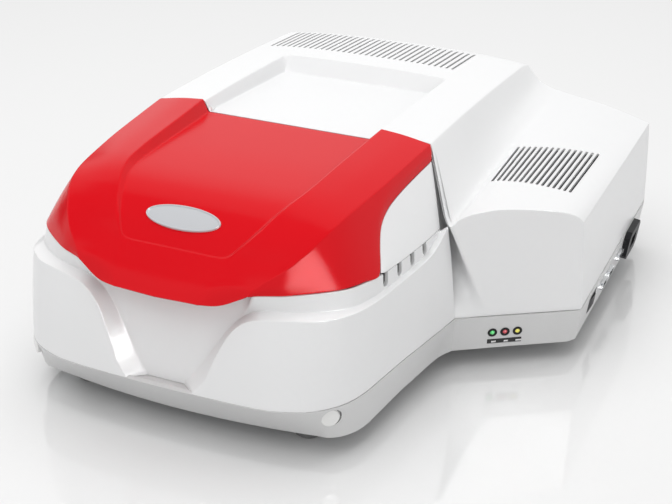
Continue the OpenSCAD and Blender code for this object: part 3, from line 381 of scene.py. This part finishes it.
finishes = {
    "red": hoodRed("glossRed", (0.60, 0.004, 0.009)),
    "white": moulded("satinWhite", (0.76, 0.762, 0.766), rough=0.33, coat=0.25, grain=0.08, grainSize=1600,
                     shift=0.02, coatRough=0.15),
    "grey": moulded("plinthGrey", (0.60, 0.60, 0.60), rough=0.42, coat=0.1, grain=0.25, grainSize=1500,
                    coatRough=0.2),
    "plug": moulded("plugGrey", (0.76, 0.76, 0.75), coat=0.2, grain=0.1),
    # the deck's near-black is partly its own colour and partly painted shade: it makes the rim's notches
    # look dark
    "deck": coated("deckBlackAsShade", (0.035, 0.035, 0.036)),
    "black": moulded("blackPlastic", (0.006, 0.006, 0.007), rough=0.45, grain=0.3, grainSize=1500,
                     shift=0.1, gloss=0.3),
    "label": moulded("labelBlack", (0.006, 0.006, 0.007), rough=0.25, coat=0.3, grain=0.05),
    "mark": moulded("labelMark", (0.7, 0.7, 0.7), rough=0.4),
    "matt": coated("mattBlack", (0.014, 0.014, 0.015), rough=0.75, scale=1200, depth=0.4),
    "anodised": coated("blackAnodised", (0.03, 0.03, 0.033), rough=0.42, scale=1500, depth=0.12),
    "rubber": coated("rubber", (0.16, 0.16, 0.16), rough=0.85, scale=700, depth=0.5),
    "foam": coated("sealFoam", (0.03, 0.03, 0.03), rough=0.95, scale=350, depth=0.9),
    "steel": metal("brushedSteel", (0.58, 0.59, 0.6), rough=0.34),
    "bright": metal("brightMetal", (0.78, 0.79, 0.8), rough=0.2, lines=(1, 1, 8), scale=140, depth=0.05),
    "cast": metal("castAluminium", (0.6, 0.61, 0.62), rough=0.5, lines=(1, 1, 1), scale=260, depth=0.3),
    "badge": moulded("badgeSilver", (0.50, 0.51, 0.53), coat=0.4, grain=0.06),
    "mirror": metal("frontSilvering", (0.9, 0.91, 0.92), rough=0.06, lines=(1, 1, 1), scale=50, depth=0.01),
    "glass": clear("quartz", (0.93, 0.97, 0.99)),
    "board": coated("boardGreen", (0.02, 0.16, 0.06), rough=0.4, scale=300, depth=0.2),
    "ledGreen": lit("ledGreen", (0.02, 0.25, 0.07), glow=(0.2, 1.0, 0.3), strength=0.45),
    "ledRed": lit("ledRed", (0.3, 0.02, 0.03), glow=(1.0, 0.15, 0.18), strength=0.3),
    "ledYellow": lit("ledYellow", (0.4, 0.36, 0.04), glow=(1.0, 0.92, 0.2), strength=0.45),
}


def paint(piece, finish):
    piece.data.materials.clear()
    piece.data.materials.append(finishes[finish])


nodeFinish = {
    "bottom_plate": "steel", "rubber_feet": "rubber", "corner_plugs": "plug", "led_bezels": "black",
    "led_green": "ledGreen", "led_red": "ledRed", "led_yellow": "ledYellow", "led_label": "label",
    "switch_frame": "black", "power_rocker": "black", "serial_ports": "bright", "port_pins": "black",
    "mains_inlet": "black", "rear_panel": "white", "hood_liner": "matt", "hinge_arms": "anodised",
    "hinge_brackets": "steel", "hinge_pins": "bright", "sample_tub": "matt", "sample_deck": "deck",
    "chamber_seal": "foam", "beam_windows": "glass", "cell_holder": "anodised", "detectors": "anodised",
    "fold_mirrors": "mirror", "bulkhead": "matt", "optics_base": "cast", "monochromator": "anodised",
    "slits": "steel", "collimators": "mirror", "grating": "mirror", "grating_shaft": "steel",
    "grating_motor": "anodised", "filter_wheel": "anodised", "filter_motor": "anodised",
    "beam_splitter": "glass", "relay_mirror": "mirror", "lamp_house": "steel", "halogen_lamp": "glass",
    "deuterium_lamp": "glass", "lamp_mirror": "mirror", "mirror_motor": "anodised",
    "power_supply": "steel", "power_stage": "board", "main_board": "board", "fan_frame": "black",
    "fan_rotor": "black", "fan_guard": "bright",
}
for node, finish in nodeFinish.items():
    paint(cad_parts[node], finish)
print("finishes assigned")

# Hood: smooth lines from the lip to the rear seam, right half

hood = {
    "wall": 3.0,
    "middle": [(0, -42, 160), (0, -29, 171.5), (0, -17, 180.5), (0, -8, 187), (0, 1, 193.5), (0, 16, 205),
               (0, 30, 213), (0, 45, 220.5), (0, 63, 226.5), (0, 85, 229), (0, 115, 229.8), (0, 150, 230),
               (0, 200, 229.5), (0, 249.2, 229)],
    "panHalf": [43, 46, 50, 55, 60, 71.5, 79, 85.5, 92.5, 97.5, 99.5, 100.5, 102, 104],
    "panDrop": [0, 0, 0, 0.2, 1, 2.4, 3.2, 4, 5, 6.5, 8, 9.5, 11.5, 14],
    "ridge": [(91, -26, 171.5), (96, -22, 176.5), (102, -16.5, 181.5), (111, -9, 187.5), (121, 1, 194.5),
              (132, 16, 204.5), (139, 30, 212.5), (145, 45, 219.5), (149, 63, 224), (152, 85, 226.5),
              (155, 115, 228.5), (158, 150, 230.5), (160.5, 200, 233), (163, 249.2, 235)],
    "brim": [(92, -24, 170.5), (98, -21.5, 171.5), (106, -18.5, 172), (122, -11, 172), (135, -2, 172),
             (150, 9.5, 172), (163, 21, 172), (172, 33, 172), (178.5, 50, 171), (184, 72, 169),
             (188.5, 104, 167.5), (191.5, 134, 166.5), (194, 165, 166), (195.5, 200, 165.5)],
    "cheekLine": [(184, 72, 169), (180, 81, 178), (175, 91, 189), (169, 107, 202), (166, 130, 210.5),
                  (166, 160, 215.5), (167, 197, 218.5), (169, 239, 221.5)],
    "cheekGap": 0.4, "cheekBulge": (1.2, -0.4, 0.6),
    # the pan's edge is inset, its wall is crestWide across, and the lip bows back by lipBow at lipHalf
    "inset": 3, "crestWide": 6, "lipBow": 5, "lipHalf": 67, "shoulderRise": 1.2,
    "lipShoulder": (67, -34.5, 160.8), "sideBulge": (0.8, -0.3, 0.5),
    # where the hood's rows meet the border line: past row 9 the hood's edge runs along it
    "borderRow": [9, 10, 11, 12, 13],
    "borderAt": [0, 2, 4, 5.3, 7],
    # steps along the hood, and across it the corners, the steps between them and how tight each is
    "rows": (58, 0.004),
    "across": ([0, 2, 3, 5, 7], [8, 3, 9, 9], [0.04, 0.2, 0.06, 0.05]),
}


def hoodNet():
    h = hood
    middle, ridge = np.array(h["middle"], float), np.array(h["ridge"], float)
    half, drop, none = np.array(h["panHalf"], float), np.array(h["panDrop"], float), np.zeros(len(middle))
    edge = np.concatenate([h["brim"][:10], spline(h["cheekLine"], h["borderAt"][1:])])
    base = middle + np.column_stack([half - h["inset"], none, none])
    base[0, 1] += h["lipBow"] * (half[0] / h["lipHalf"]) ** 2
    crest = base + np.column_stack([none + h["crestWide"], none, drop])
    shoulder = mix(crest, ridge, 0.5) + [0, 0, h["shoulderRise"]]
    shoulder[0] = h["lipShoulder"]
    side = mix(ridge, edge, 0.5) + h["sideBulge"]
    return np.stack([middle, mix(middle, base, 0.5), base, crest, shoulder, ridge, side, edge], 1)


def hoodGrid():
    # the lines are splined from front to rear, then across in pieces that meet at the pan's step,
    # its crest and the ridge
    row = (len(hood["middle"]) - 1) * steps(*hood["rows"])
    lines = spline(hoodNet(), row)
    past = row > hood["borderRow"][0]
    lines[past, -1] = spline(hood["cheekLine"], np.interp(row[past], hood["borderRow"], hood["borderAt"]))
    return mirrored(creased(lines.transpose(1, 0, 2), *hood["across"]).transpose(1, 0, 2))


def cheekGrid():
    # straight lines from the red border down to the lower edge, bulged a little to the outside
    t = np.linspace(0.04, 1, 34)
    first, last = hood["borderRow"][0], hood["borderRow"][-1]
    top = spline(hood["cheekLine"], hood["borderAt"][-1] * t)
    low = spline(hood["brim"], first + (last - first) * t)
    down = (low - top) / np.linalg.norm(low - top, axis=1)[:, None] * hood["cheekGap"]
    v = steps(9, 0.03)[None, :, None]
    bulge = np.array(hood["cheekBulge"]) * v * (1 - v) * 2
    return mix((top + down)[:, None], low[:, None], v) + bulge


hoodShell = skin("hoodShell", [hoodGrid()], hood["wall"], "hood", ["hood"])
paint(hoodShell, "red")
rightCheek = cheekGrid()
leftCheek = rightCheek[:, ::-1] * np.array([-1, 1, 1])
hoodCheeks = skin("hoodCheeks", [rightCheek, leftCheek], hood["wall"], "hood", ["hood_cheeks"])
paint(hoodCheeks, "white")
print("hood made")

# Front bumper: columns from the centre to the lamp wing, rows from the seam up to the rim

bumper = {
    "wall": 3.5,
    "foot": [(0, -28.5), (12, -28.5), (21, -28.5), (38, -42), (44, -42.2), (54, -42.2), (66, -42),
             (76, -41.7), (86, -41.2), (96, -40.5), (108, -39.5), (122, -37), (138, -31.5), (154, -23.5),
             (168, -11), (180, 7), (187.5, 32), (191.5, 62), (197, 104), (202, 134), (206, 160),
             (209, 178), (211, 192), (213, 205)],
    "edge": [(0, -28.2, 62.5), (12, -28.2, 62.5), (21.5, -28.2, 62.5), (38.5, -41.6, 63.5), (49, -38.5, 77),
             (56, -35.5, 94), (64, -32.2, 112), (72, -29.3, 127), (81, -27, 138), (92, -24.5, 145),
             (105, -22, 148), (120, -18, 149), (136, -14, 150), (153, -8, 150.5), (166, 2, 151),
             (176, 14, 151), (183.5, 36, 149.5), (188.5, 66, 148), (193, 104, 148), (197.5, 132, 150),
             (201, 157, 152.5), (203, 172, 157.5), (204, 186, 164), (203.5, 200, 170)],
    "rimFoot": [(0, -27.8, 65), (12, -27.8, 65), (21.5, -27.8, 65), (24.5, -27.3, 67.5), (35, -24, 81),
                (45, -20, 96), (56, -16.5, 113), (66, -13.5, 127.5), (76, -11.5, 138.5), (87, -11, 147),
                (100, -11.5, 152), (117, -8.5, 153.5), (134, -2.5, 153.5), (151, 7.5, 153),
                (164, 18, 152.5), (174, 30, 152.5), (178.5, 47, 151), (183.5, 70, 150), (188.5, 104, 150),
                (191.5, 134, 150.5), (193.8, 160, 152), (195, 176, 155), (195.5, 188, 159),
                (195.6, 200, 163.5)],
    "rimAt": [0.6, 2, 2.8, 4, 5, 6, 7, 8, 9, 10, 11, 11.9, 12.45, 12.8, 13],
    "notches": [82, 108.5, 135, 161.5],
    "notchWidth": 8.5, "notchBottom": 152.5, "notchReach": (173, 196),
    # the belly stands out between the foot and the edge, in full where the edge is bellyGrown or more
    # above bellyFrom; the rim's head runs level behind the lip, then just under the hood's brim
    "bellyShare": 0.55, "belly": 1.2, "bellyFrom": 62, "bellyGrown": 40, "centreY": 120,
    "headStep": 11, "headFront": -5, "headFall": 0.25, "headTop": 169,
    "underBrim": (-0.6, 0.6, -0.8), "underDip": 0.7,
    # corners, the steps between them and how tight each corner is, across the bumper and up it
    "across": ([0, 2, 3, 23], [4, 3, 72], [0.08, 0.12, 0.004]),
    "up": ([0, 2, 3, 5], [9, 4, 6], [0.018, 0.13, 0.08]),
}


def bumperNet():
    b = bumper
    flat = np.array(b["foot"], float)
    foot = np.column_stack([flat, np.full(len(flat), body["seam"])])
    edge, rimFoot = np.array(b["edge"], float), np.array(b["rimFoot"], float)
    out = edge * [1, 1, 0] - [0, b["centreY"], 0]
    out = out / np.linalg.norm(out, axis=1)[:, None]
    grown = np.minimum(1, (edge[:, 2:] - b["bellyFrom"]) / b["bellyGrown"])
    belly = mix(foot, edge, b["bellyShare"]) + out * (b["belly"] * grown)
    k = np.arange(len(flat) - len(b["rimAt"]))[:, None]
    underBrim = spline(hood["brim"], b["rimAt"]) + b["underBrim"]
    underBrim[6:9, 2] -= b["underDip"]
    head = np.concatenate([k * b["headStep"], b["headFront"] - b["headFall"] * k, b["headTop"] + 0 * k], 1)
    rimHead = np.concatenate([head, underBrim])
    return np.stack([foot, belly, edge, rimFoot, mix(rimFoot, rimHead, 0.5), rimHead])


def bumperGrid():
    across = creased(bumperNet().transpose(1, 0, 2), *bumper["across"])
    return mirrored(creased(across.transpose(1, 0, 2), *bumper["up"]))


def notchCutters():
    # a round-bottomed slot, run across the rim
    r = bumper["notchWidth"] / 2
    turn = np.linspace(math.pi, 2 * math.pi, 17)
    outline = np.concatenate([np.column_stack([r * np.cos(turn), r * np.sin(turn)]), [(r, 30), (-r, 30)]])
    base = bumper["notchBottom"] + r

    def across(y):
        return lambda p: np.column_stack([p[:, 2], p[:, 0] + y, p[:, 1] + base])
    return [prism("notch", outline, *bumper["notchReach"], across(y)) for y in bumper["notches"]]


frontBumper = skin("frontBumper", [bumperGrid()], bumper["wall"], "base", ["front_bumper"])
cut(frontBumper, notchCutters())
paint(frontBumper, "white")
print("front bumper made")

# Housing: one sheet from the left wall over the crown and the lamp wing, and the wing's front wall

housing = {
    "wall": 3.5, "ridgeX": 163, "ridgeZ": 235, "crown": 8, "seamY": 250, "trayX": 104, "trayDepth": 14,
    "trayFall": 11, "trayRear": 447, "trayWall": 15, "archZ": 185, "wingZ": 165,
    "rearCrown": 7, "rearHalf": 160, "rearZ": 214,
    # corners, the steps between them and how tight each corner is, to the rear and to the right
    "back": ([0, 5, 6, 11], [20, 4, 15], [0.016, 0.15, 0.02]),
    "across": ([0, 2, 4, 6, 7, 11, 12, 14, 24, 26], [7, 5, 5, 3, 14, 3, 5, 30, 7],
               [0.02, 0.05, 0.06, 0.2, 0.02, 0.2, 0.06, 0.008, 0.05]),
    # the flange turned in along the hood's seam: it hangs down under the crown, and where the seam
    # lies lower, at the tray and beside the left cheek, it turns inwards, wider further down
    "flangeHang": (0, 0.6, -5.5), "flangeSide": (0, 0.9, -2.4), "flangeBelow": 234,
    "flangeWidth": 5.5, "flangeFrom": 202.5, "flangeGrowth": 0.2, "flangeMost": 12.0,
    # the wing's front wall: its left foot, and how far its left edge is carried on halfway up
    "wallFoot": (213.0, 205.0), "carried": (-7.0, -8.0, 0.0),
    # the slots from the first to the last: place and length, the turn of each and the heights cut
    "slotWidth": 3.0,
    "slots": [{"count": 33, "x": (-145, 96), "y": (486, 486), "length": (82, 82), "turn": 0,
               "reach": (200, 260)},
              {"count": 15, "x": (213.5, 295.5), "y": (304, 318), "length": (100, 128), "turn": 1.8,
               "reach": (150, 200)}],
}


def drapeNet():
    h = housing
    tray = h["trayX"]
    across = [-h["ridgeX"], -136, -tray - 2, -tray + 3, -52, 0, 52, tray - 3, tray + 2, 136, h["ridgeX"]]
    front = [(body["left"], 205, body["seam"]), (-209, 203, 112), (-203.5, 200, 170), (-183, 225, 202.5)]
    front += [(x, h["seamY"], h["ridgeZ"] + h["crown"] * (1 - (abs(x) / h["ridgeX"]) ** 3)) for x in across]
    front += [(183, 225, 202.5), (203.5, 200, 170), (212, 204.4, 175.5), (223, 211.5, 181),
              (236, 220, h["archZ"] - 1.5), (249, 228.5, h["archZ"]), (275, 245.5, h["archZ"] - 2),
              (302, 263, h["archZ"] - 6), (317, 273, 172.5), (324, 277.5, h["wingZ"]),
              (326, 278.8, 125), (body["right"], 280, body["seam"])]
    y = body["rear"]
    rear = [(-203, y, body["seam"]), (-200, y, 112), (-192, y, 150), (-178, y, 183)]
    rear += [(x, y, h["rearZ"] + h["rearCrown"] * (1 - (abs(x) / h["rearHalf"]) ** 3))
             for x in (-160, -132, -104, -98, -52, 0, 52, 98, 104, 132, 158)]
    rear += [(172, y, 197.5), (190, y, 189.5), (203, y, 187), (216, y, 184.5), (233, y, 182),
             (249, y, 179.5), (273, y, 174.5), (295, y, 168.5), (306, y, 165.5),
             (314, y, h["wingZ"] - 2), (316, y, 125), (317.5, y, body["seam"])]
    front, rear = np.array(front, float), np.array(rear, float)
    trayEnd = (h["trayRear"] - h["trayWall"] - h["seamY"]) / (y - h["seamY"])
    trayBack = (h["trayRear"] - h["seamY"]) / (y - h["seamY"])
    s = np.array([0, 0.06, 0.14, 0.26, 0.38, trayEnd, trayBack, 0.62, 0.72, 0.82, 0.93, 1])[:, None]
    # columns 4 to 14 are the tower's roof, with the tray in 7 to 11, and the wing's come after them:
    # the tower's roof falls slowly and then fast, the wing's the other way round
    j = np.arange(len(front))[None, :]
    towerFall = np.where(s < 1, 0.8 * s ** 1.8, 1.0)
    fall = np.where((j >= 4) & (j <= 14), towerFall, np.where(j < 4, s, 1 - (1 - s) ** 1.5))
    net = mix(front[None], rear[None], s[..., None])
    net[..., 2] = mix(front[None, :, 2], rear[None, :, 2], fall)
    inTray = (j >= 7) & (j <= 11) & (s <= trayEnd + 1e-9)
    floor = h["ridgeZ"] + h["crown"] - h["trayDepth"] - h["trayFall"] * s / trayEnd + 0 * j
    net[..., 2] = np.where(inTray, floor, net[..., 2])
    return net


def housingGrids():
    h = housing
    rows = creased(drapeNet(), *h["back"])
    sheet = creased(rows.transpose(1, 0, 2), *h["across"]).transpose(1, 0, 2)
    edge = sheet[0]
    # where the ridge ends on the right, and where the wing's right corner starts, along the front edge
    ridgeEnd, cornerTop = np.cumsum([len(steps(*run)) - 1 for run in zip(*h["across"][1:])])[[6, 7]]
    # the flange, from the left foot to the ridge's right end
    seamPart = edge[:ridgeEnd + 1]
    lower = seamPart + h["flangeHang"]
    low = seamPart[:, 2] < h["flangeBelow"]
    beside = seamPart[low]
    width = np.clip(h["flangeWidth"] + (h["flangeFrom"] - beside[:, 2]) * h["flangeGrowth"],
                    0.8, h["flangeMost"])
    lower[low] = beside + h["flangeSide"]
    lower[low, 0] -= np.sign(beside[:, 0]) * width
    flange = np.stack([lower, mix(lower, seamPart, 0.8), seamPart])
    # from there on, the wing's front wall: from the plinth's seam up to the edge, in line with the
    # wing's right corner
    top, corner = edge[ridgeEnd:cornerTop + 1], edge[cornerTop:]
    t = (corner[:, 2] - corner[-1, 2]) / (corner[0, 2] - corner[-1, 2])
    start = np.array([*h["wallFoot"], body["seam"]])
    share = (top[:, 0] - top[0, 0]) / (top[-1, 0] - top[0, 0])
    foot = start + share[:, None] * (corner[-1] - start)
    wall = mix(foot[None], top[None], t[::-1][:, None, None])
    wall[:, -1] = corner[::-1]
    # its left edge is carried on behind the right cheek, most of all halfway up
    bulge = np.sin(math.pi * np.linspace(0, 1, len(wall)))[:, None] * h["carried"]
    wall = np.concatenate([(wall[:, 0] + bulge)[:, None], wall], 1)
    return sheet, flange, wall


def slotCutters():
    # straight slots with round ends, through the tower's roof and through the lamp wing's sheet
    r = housing["slotWidth"] / 2
    a = np.linspace(0, math.pi, 7)

    def slot(x, y, length, turn, reach):
        outline = np.concatenate([np.column_stack([r * np.cos(a), length - r + r * np.sin(a)]),
                                  np.column_stack([-r * np.cos(a), r - r * np.sin(a)])])
        c, s = math.cos(turn), math.sin(turn)
        return prism("slot", outline, *reach, lambda p: np.column_stack(
            [x + c * p[:, 0] - s * p[:, 1], y + s * p[:, 0] + c * p[:, 1], p[:, 2]]))

    made = []
    for row in housing["slots"]:
        for t in np.linspace(0, 1, row["count"]):
            x, y, length = [mix(*row[key], t) for key in ("x", "y", "length")]
            made.append(slot(x, y, length, math.radians(row["turn"]), row["reach"]))
    return made


housingShell = skin("housingShell", housingGrids(), housing["wall"], "base", ["housing_cover", "lamp_front"])
cut(housingShell, slotCutters())
paint(housingShell, "white")
print("housing made")

# Plinth: a tapering wall between the seam's outline and a smaller one at the feet

plinth = {
    "wall": 4.0, "low": 21.0, "middle": 41.0, "rows": 10, "sideTurn": 91.6, "sideLean": 8.3,
    "sideX": (324.9, 315.2), "sideFrontY": 285, "sideCut": (-9, 11),
    "plugAt": (168.2, -4.5, 48.4), "plugTurn": 42, "plugRadius": 9.5, "holeMore": 0.9, "floorMore": 3,
    "plugCut": (-15, 6), "plugFloor": (6, 9),
    # the shelf under the front recess: its middle, its size and its heights
    "shelf": ((0, -32), (92, 16), (58, 61)),
    # the holes in the right side: middle along it and upwards, width and height
    "sideHoles": [((339, 42), (28, 19)), ((515, 43), (46, 24)), ((388, 43), (18, 10)),
                  ((419, 43), (18, 10)), ((467, 43), (18, 10))],
    # the lower outline is a shallow bow across the front, narrower than the upper one, then points
    "narrow": 0.985, "bowFront": -14.5, "bowDepth": 15.5, "bowHalf": 162,
    "lowSide": [(163, 0.8), (175.5, 11.6), (184.6, 31), (188.2, 62), (191.5, 104),
                (195, 134), (198, 160), (200.5, 178), (203.5, 192), (210, 207)],
    # the straight runs' corners round the wing and the rear, each as its upper and its lower point
    "straight": [[(268, 240.5), (266, 245.5)], [(321, 275.2), (316, 278.5)], [(328, 283), (322, 288)],
                 [(322.7, 440), (317, 440)], [(317.5, 591), (312, 588)], [(-203, 591), (-197, 588)]],
    "round": ([0, 3, 23], [6, 66], [0, 0]),
}


def plinthOutlines():
    # the front half is splined through its columns, the lamp wing and the rear are straight runs
    high = np.array(bumper["foot"], float)
    high[:3, 1] = body["front"]
    x = high[:len(high) - len(plinth["lowSide"]), 0] * plinth["narrow"]
    bow = plinth["bowFront"] + plinth["bowDepth"] * (x / plinth["bowHalf"]) ** 2
    low = np.concatenate([np.column_stack([x, bow]), plinth["lowSide"]])
    right = creased(np.stack([high, low], 1), *plinth["round"])
    left = right[:0:-1] * [-1, 1]
    return np.concatenate([right, np.array(plinth["straight"], float), left, right[:1]])


def plinthGrid():
    pair = plinthOutlines()
    t = steps(plinth["rows"], 0.02)[:, None, None]
    flat = mix(pair[None, :, 1], pair[None, :, 0], t)
    z = plinth["low"] + (body["plinthTop"] - plinth["low"]) * t + 0 * flat[..., :1]
    return np.concatenate([flat, z], -1)


def sideSeat(y):
    # a frame halfway up the plinth's right side, which closes in towards the rear
    front = plinth["sideFrontY"]
    x = mix(*plinth["sideX"], (y - front) / (body["rear"] - front))
    return seat((x, y, plinth["middle"]), plinth["sideTurn"], plinth["sideLean"])


def atPlugs(name, radius, reach):
    # a disc behind each corner plug, on the right and mirrored on the left
    plug = seat(plinth["plugAt"], plinth["plugTurn"])
    return [prism(name, disc(radius), *reach, lambda p, side=side: plug(p) * [side, 1, 1])
            for side in (1, -1)]


def plinthCutters():
    # the holes for the corner plugs, the switch, the mains inlet and the serial ports
    found = atPlugs("plugHole", plinth["plugRadius"] + plinth["holeMore"], plinth["plugCut"])
    for (y, z), (width, height) in plinth["sideHoles"]:
        outline = np.array(box(width, height)) + [0, z - plinth["middle"]]
        found.append(prism("sideHole", outline, *plinth["sideCut"], sideSeat(y)))
    return found


def plinthInner():
    # the shelf under the front recess and the floors behind the plugs
    middle, size, heights = plinth["shelf"]
    shelf = prism("shelf", np.array(box(*size)) + middle, *heights, lambda p: p)
    return [shelf] + atPlugs("floor", plinth["plugRadius"] + plinth["floorMore"], plinth["plugFloor"])


plinthShell = skin("plinthShell", [plinthGrid()], plinth["wall"], "base", [], 0)
cut(plinthShell, plinthCutters())
plinthShell = joined("plinthShell", [plinthShell] + plinthInner())
settle(plinthShell, 30)
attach(plinthShell, "base")
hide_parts("plinth")
paint(plinthShell, "grey")
print("plinth made")

# Badge: a blank oval with a raised rim and a shallow dome inside it

badge = {
    "at": (-4, 26, 211), "slope": 30, "half": (41, 14),
    # how far each ring lies inside the outline, and its height
    "rings": [(0, -1.0), (0, 1.2), (0.5, 1.9), (1.1, 2.1), (1.7, 1.8), (2.2, 1.1), (3, 1.15), (6, 1.35),
              (10, 1.5), (13.99, 1.55)],
}


def badgeGrid():
    # rings of an ellipse: up the edge, over the rim, down to the field and a low dome to the middle
    a = np.linspace(0, 2 * math.pi, 97)
    halfLong, halfShort = badge["half"]
    rings = []
    for inset, z in badge["rings"]:
        # the rim is as wide all round, and the field inside it shrinks evenly
        long = halfLong - inset if inset < 4 else halfLong * (1 - inset / halfShort)
        short = halfShort - inset
        rings.append(np.column_stack([long * np.cos(a), short * np.sin(a), np.full(len(a), z)]))
    x, y, z = np.moveaxis(np.array(rings), -1, 0)
    c, s = math.cos(math.radians(badge["slope"])), math.sin(math.radians(badge["slope"]))
    return np.stack([x, c * y - s * z, s * y + c * z], -1) + np.array(badge["at"], float)


hoodBadge = toMesh("badgePlate", [badgeGrid()])
settle(hoodBadge)
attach(hoodBadge, "hood")
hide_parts("hood_badge")
paint(hoodBadge, "badge")

# Label: three plain bars, one under each light

label = {
    # the plinth's facet under the lamp wing, from left to right, and how it leans
    "from": (211.5, 206.0, 41.0), "to": (318.5, 276.85, 41.0), "lean": 5.5,
    "bars": [(44.4, 5.0), (58.1, 4.6), (71.8, 6.2)], "barHeight": 2.0, "below": 11.5,
    "depth": (-1.0, -0.85),
}


def labelMarks():
    # each bar is placed along the facet by its middle and its width
    start = np.array(label["from"])
    way = np.array(label["to"]) - start
    turn = math.atan2(way[1], way[0])
    along = np.array([math.cos(turn), math.sin(turn), 0])
    return [prism("mark", np.array(box(width, label["barHeight"])) - [0, label["below"]], *label["depth"],
                  seat(start + middle * along, math.degrees(turn), label["lean"]))
            for middle, width in label["bars"]]


ledMarks = joined("ledMarks", labelMarks())
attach(ledMarks, "base")
paint(ledMarks, "mark")
print("trim made")

# Studio: a white glossy floor, soft lamps and the photograph's camera

studio = {
    "camera": (669.56, -1070.54, 804.52), "azimuth": 24.95, "elevation": 26.17, "lens": 78.25,
    "sensor": 36, "shift": (-0.00137, -0.0018), "farEnd": 50,
    "floorSize": 9.0, "floorShade": 0.76, "floorRough": 0.04,
    # metres: place, the point it looks at, width and height; then watts
    "lamps": {
        "overhead": ((-0.2, 0.1, 2.1), (0, 0, 0.1), (2.4, 1.8), 24),
        "frontHigh": ((-0.3, -1.7, 2.3), (0, 0, 0.1), (1.4, 0.8), 8.5),
        "frontRight": ((1.85, -1.46, 1.15), (0, 0, 0.1), (0.8, 0.8), 4.5),
    },
    # the same, with a glow for the watts: the dark cards deepen the red of the hood's slope, the
    # bright one puts the pale patch on its right side
    "cards": {
        "darkCard": ((-0.4, -0.35, 1.9), (-0.4, -0.35, 0), (3.0, 1.05), 0.02),
        "darkSide": ((-2.0, 0.7, 0.4), (0, 0, 0.2), (1.6, 0.9), 0.05),
        "brightCard": ((1.62, -1.4, 1.1), (0.1, -0.15, 0.15), (0.95, 0.95), 20),
    },
    # the white surroundings, as a light and where they are seen
    "skyLight": 0.715, "skySeen": 1.0,
}
pureWhite = (1, 1, 1, 1)


def sheetMesh(name, width, height):
    mesh = bpy.data.meshes.new(name)
    mesh.from_pydata([(x, y, 0) for x, y in box(width, height)], [], [(0, 1, 2, 3)])
    return mesh


def aimed(piece, spot, target):
    piece.location = spot
    piece.rotation_euler = (Vector(target) - Vector(spot)).to_track_quat("-Z", "Y").to_euler()
    return piece


def addFloor():
    # a pale glossy sheet: it takes the object's shadow and mirrors the object faintly
    f = Finish("studioFloor")
    diffuse = f.node("ShaderNodeBsdfDiffuse", None, {"Color": rgba([studio["floorShade"]] * 3)})
    gloss = f.node("ShaderNodeBsdfGlossy", None, {"Color": pureWhite, "Roughness": studio["floorRough"]})
    fresnel = f.node("ShaderNodeFresnel", None, {"IOR": 1.5})
    material = f.shown(f.node("ShaderNodeMixShader", None, [fresnel * 1.2 + 0.05, diffuse, gloss]))
    floor = added("studioFloor", sheetMesh("studioFloor", studio["floorSize"], studio["floorSize"]))
    floor.data.materials.append(material)


def addLamp(name, spot, target, size, power):
    data = bpy.data.lights.new(name, "AREA")
    data.shape = "RECTANGLE"
    data.size, data.size_y = size
    data.energy = power
    aimed(added(name, data), spot, target).visible_glossy = False


def addCard(name, spot, target, size, glow):
    # a card that only reflections in the object see. A ray that starts on the floor passes through:
    # its start is the point it meets plus its way back times its length.
    f = Finish(name)
    card = f.node("ShaderNodeEmission", None, {"Color": pureWhite, "Strength": glow})
    through = f.node("ShaderNodeBsdfTransparent", None, {"Color": pureWhite})
    met, back = [f.node("ShaderNodeSeparateXYZ", None, [f.node("ShaderNodeNewGeometry", out=which)], out=2)
                 for which in ("Position", "Incoming")]
    start = met + back * f.node("ShaderNodeLightPath", out="Ray Length")
    raised = f.node("ShaderNodeMath", {"operation": "GREATER_THAN"}, [start, 0.01])
    material = f.shown(f.node("ShaderNodeMixShader", None, [raised, through, card]))
    material.cycles.emission_sampling = "NONE"
    sheet = aimed(added(name, sheetMesh(name, *size)), spot, target)
    sheet.data.materials.append(material)
    sheet.visible_camera = sheet.visible_diffuse = sheet.visible_shadow = sheet.visible_transmission = False


def addWorld():
    # white where it is seen straight, mirrored or through glass, and dimmer as a light
    f = Finish("studioWorld", bpy.data.worlds)
    seen = f.node("ShaderNodeLightPath", out="Is Camera Ray")
    for ray in ("Is Glossy Ray", "Is Transmission Ray"):
        seen = seen.maths("MAXIMUM", seen, f.node("ShaderNodeLightPath", out=ray))
    sides = [f.node("ShaderNodeBackground", None, {"Color": pureWhite, "Strength": studio[which]})
             for which in ("skyLight", "skySeen")]
    both = f.node("ShaderNodeMixShader", None, [seen, *sides])
    bpy.context.scene.world = f.shown(both, "ShaderNodeOutputWorld")


def addCamera():
    data = bpy.data.cameras.new("photoCamera")
    data.sensor_width = studio["sensor"]
    data.lens = studio["lens"]
    data.shift_x, data.shift_y = studio["shift"]
    data.clip_end = studio["farEnd"]
    camera = added("photoCamera", data)
    camera.location = [float(c) for c in (np.array(studio["camera"]) - drawingOrigin) / 1000]
    camera.rotation_euler = (math.radians(90 - studio["elevation"]), 0, math.radians(studio["azimuth"]))
    bpy.context.scene.camera = camera


addFloor()
for name, settings in studio["lamps"].items():
    addLamp(name, *settings)
for name, settings in studio["cards"].items():
    addCard(name, *settings)
addWorld()
addCamera()
bpy.context.scene.view_settings.view_transform = "Standard"
print("studio made")
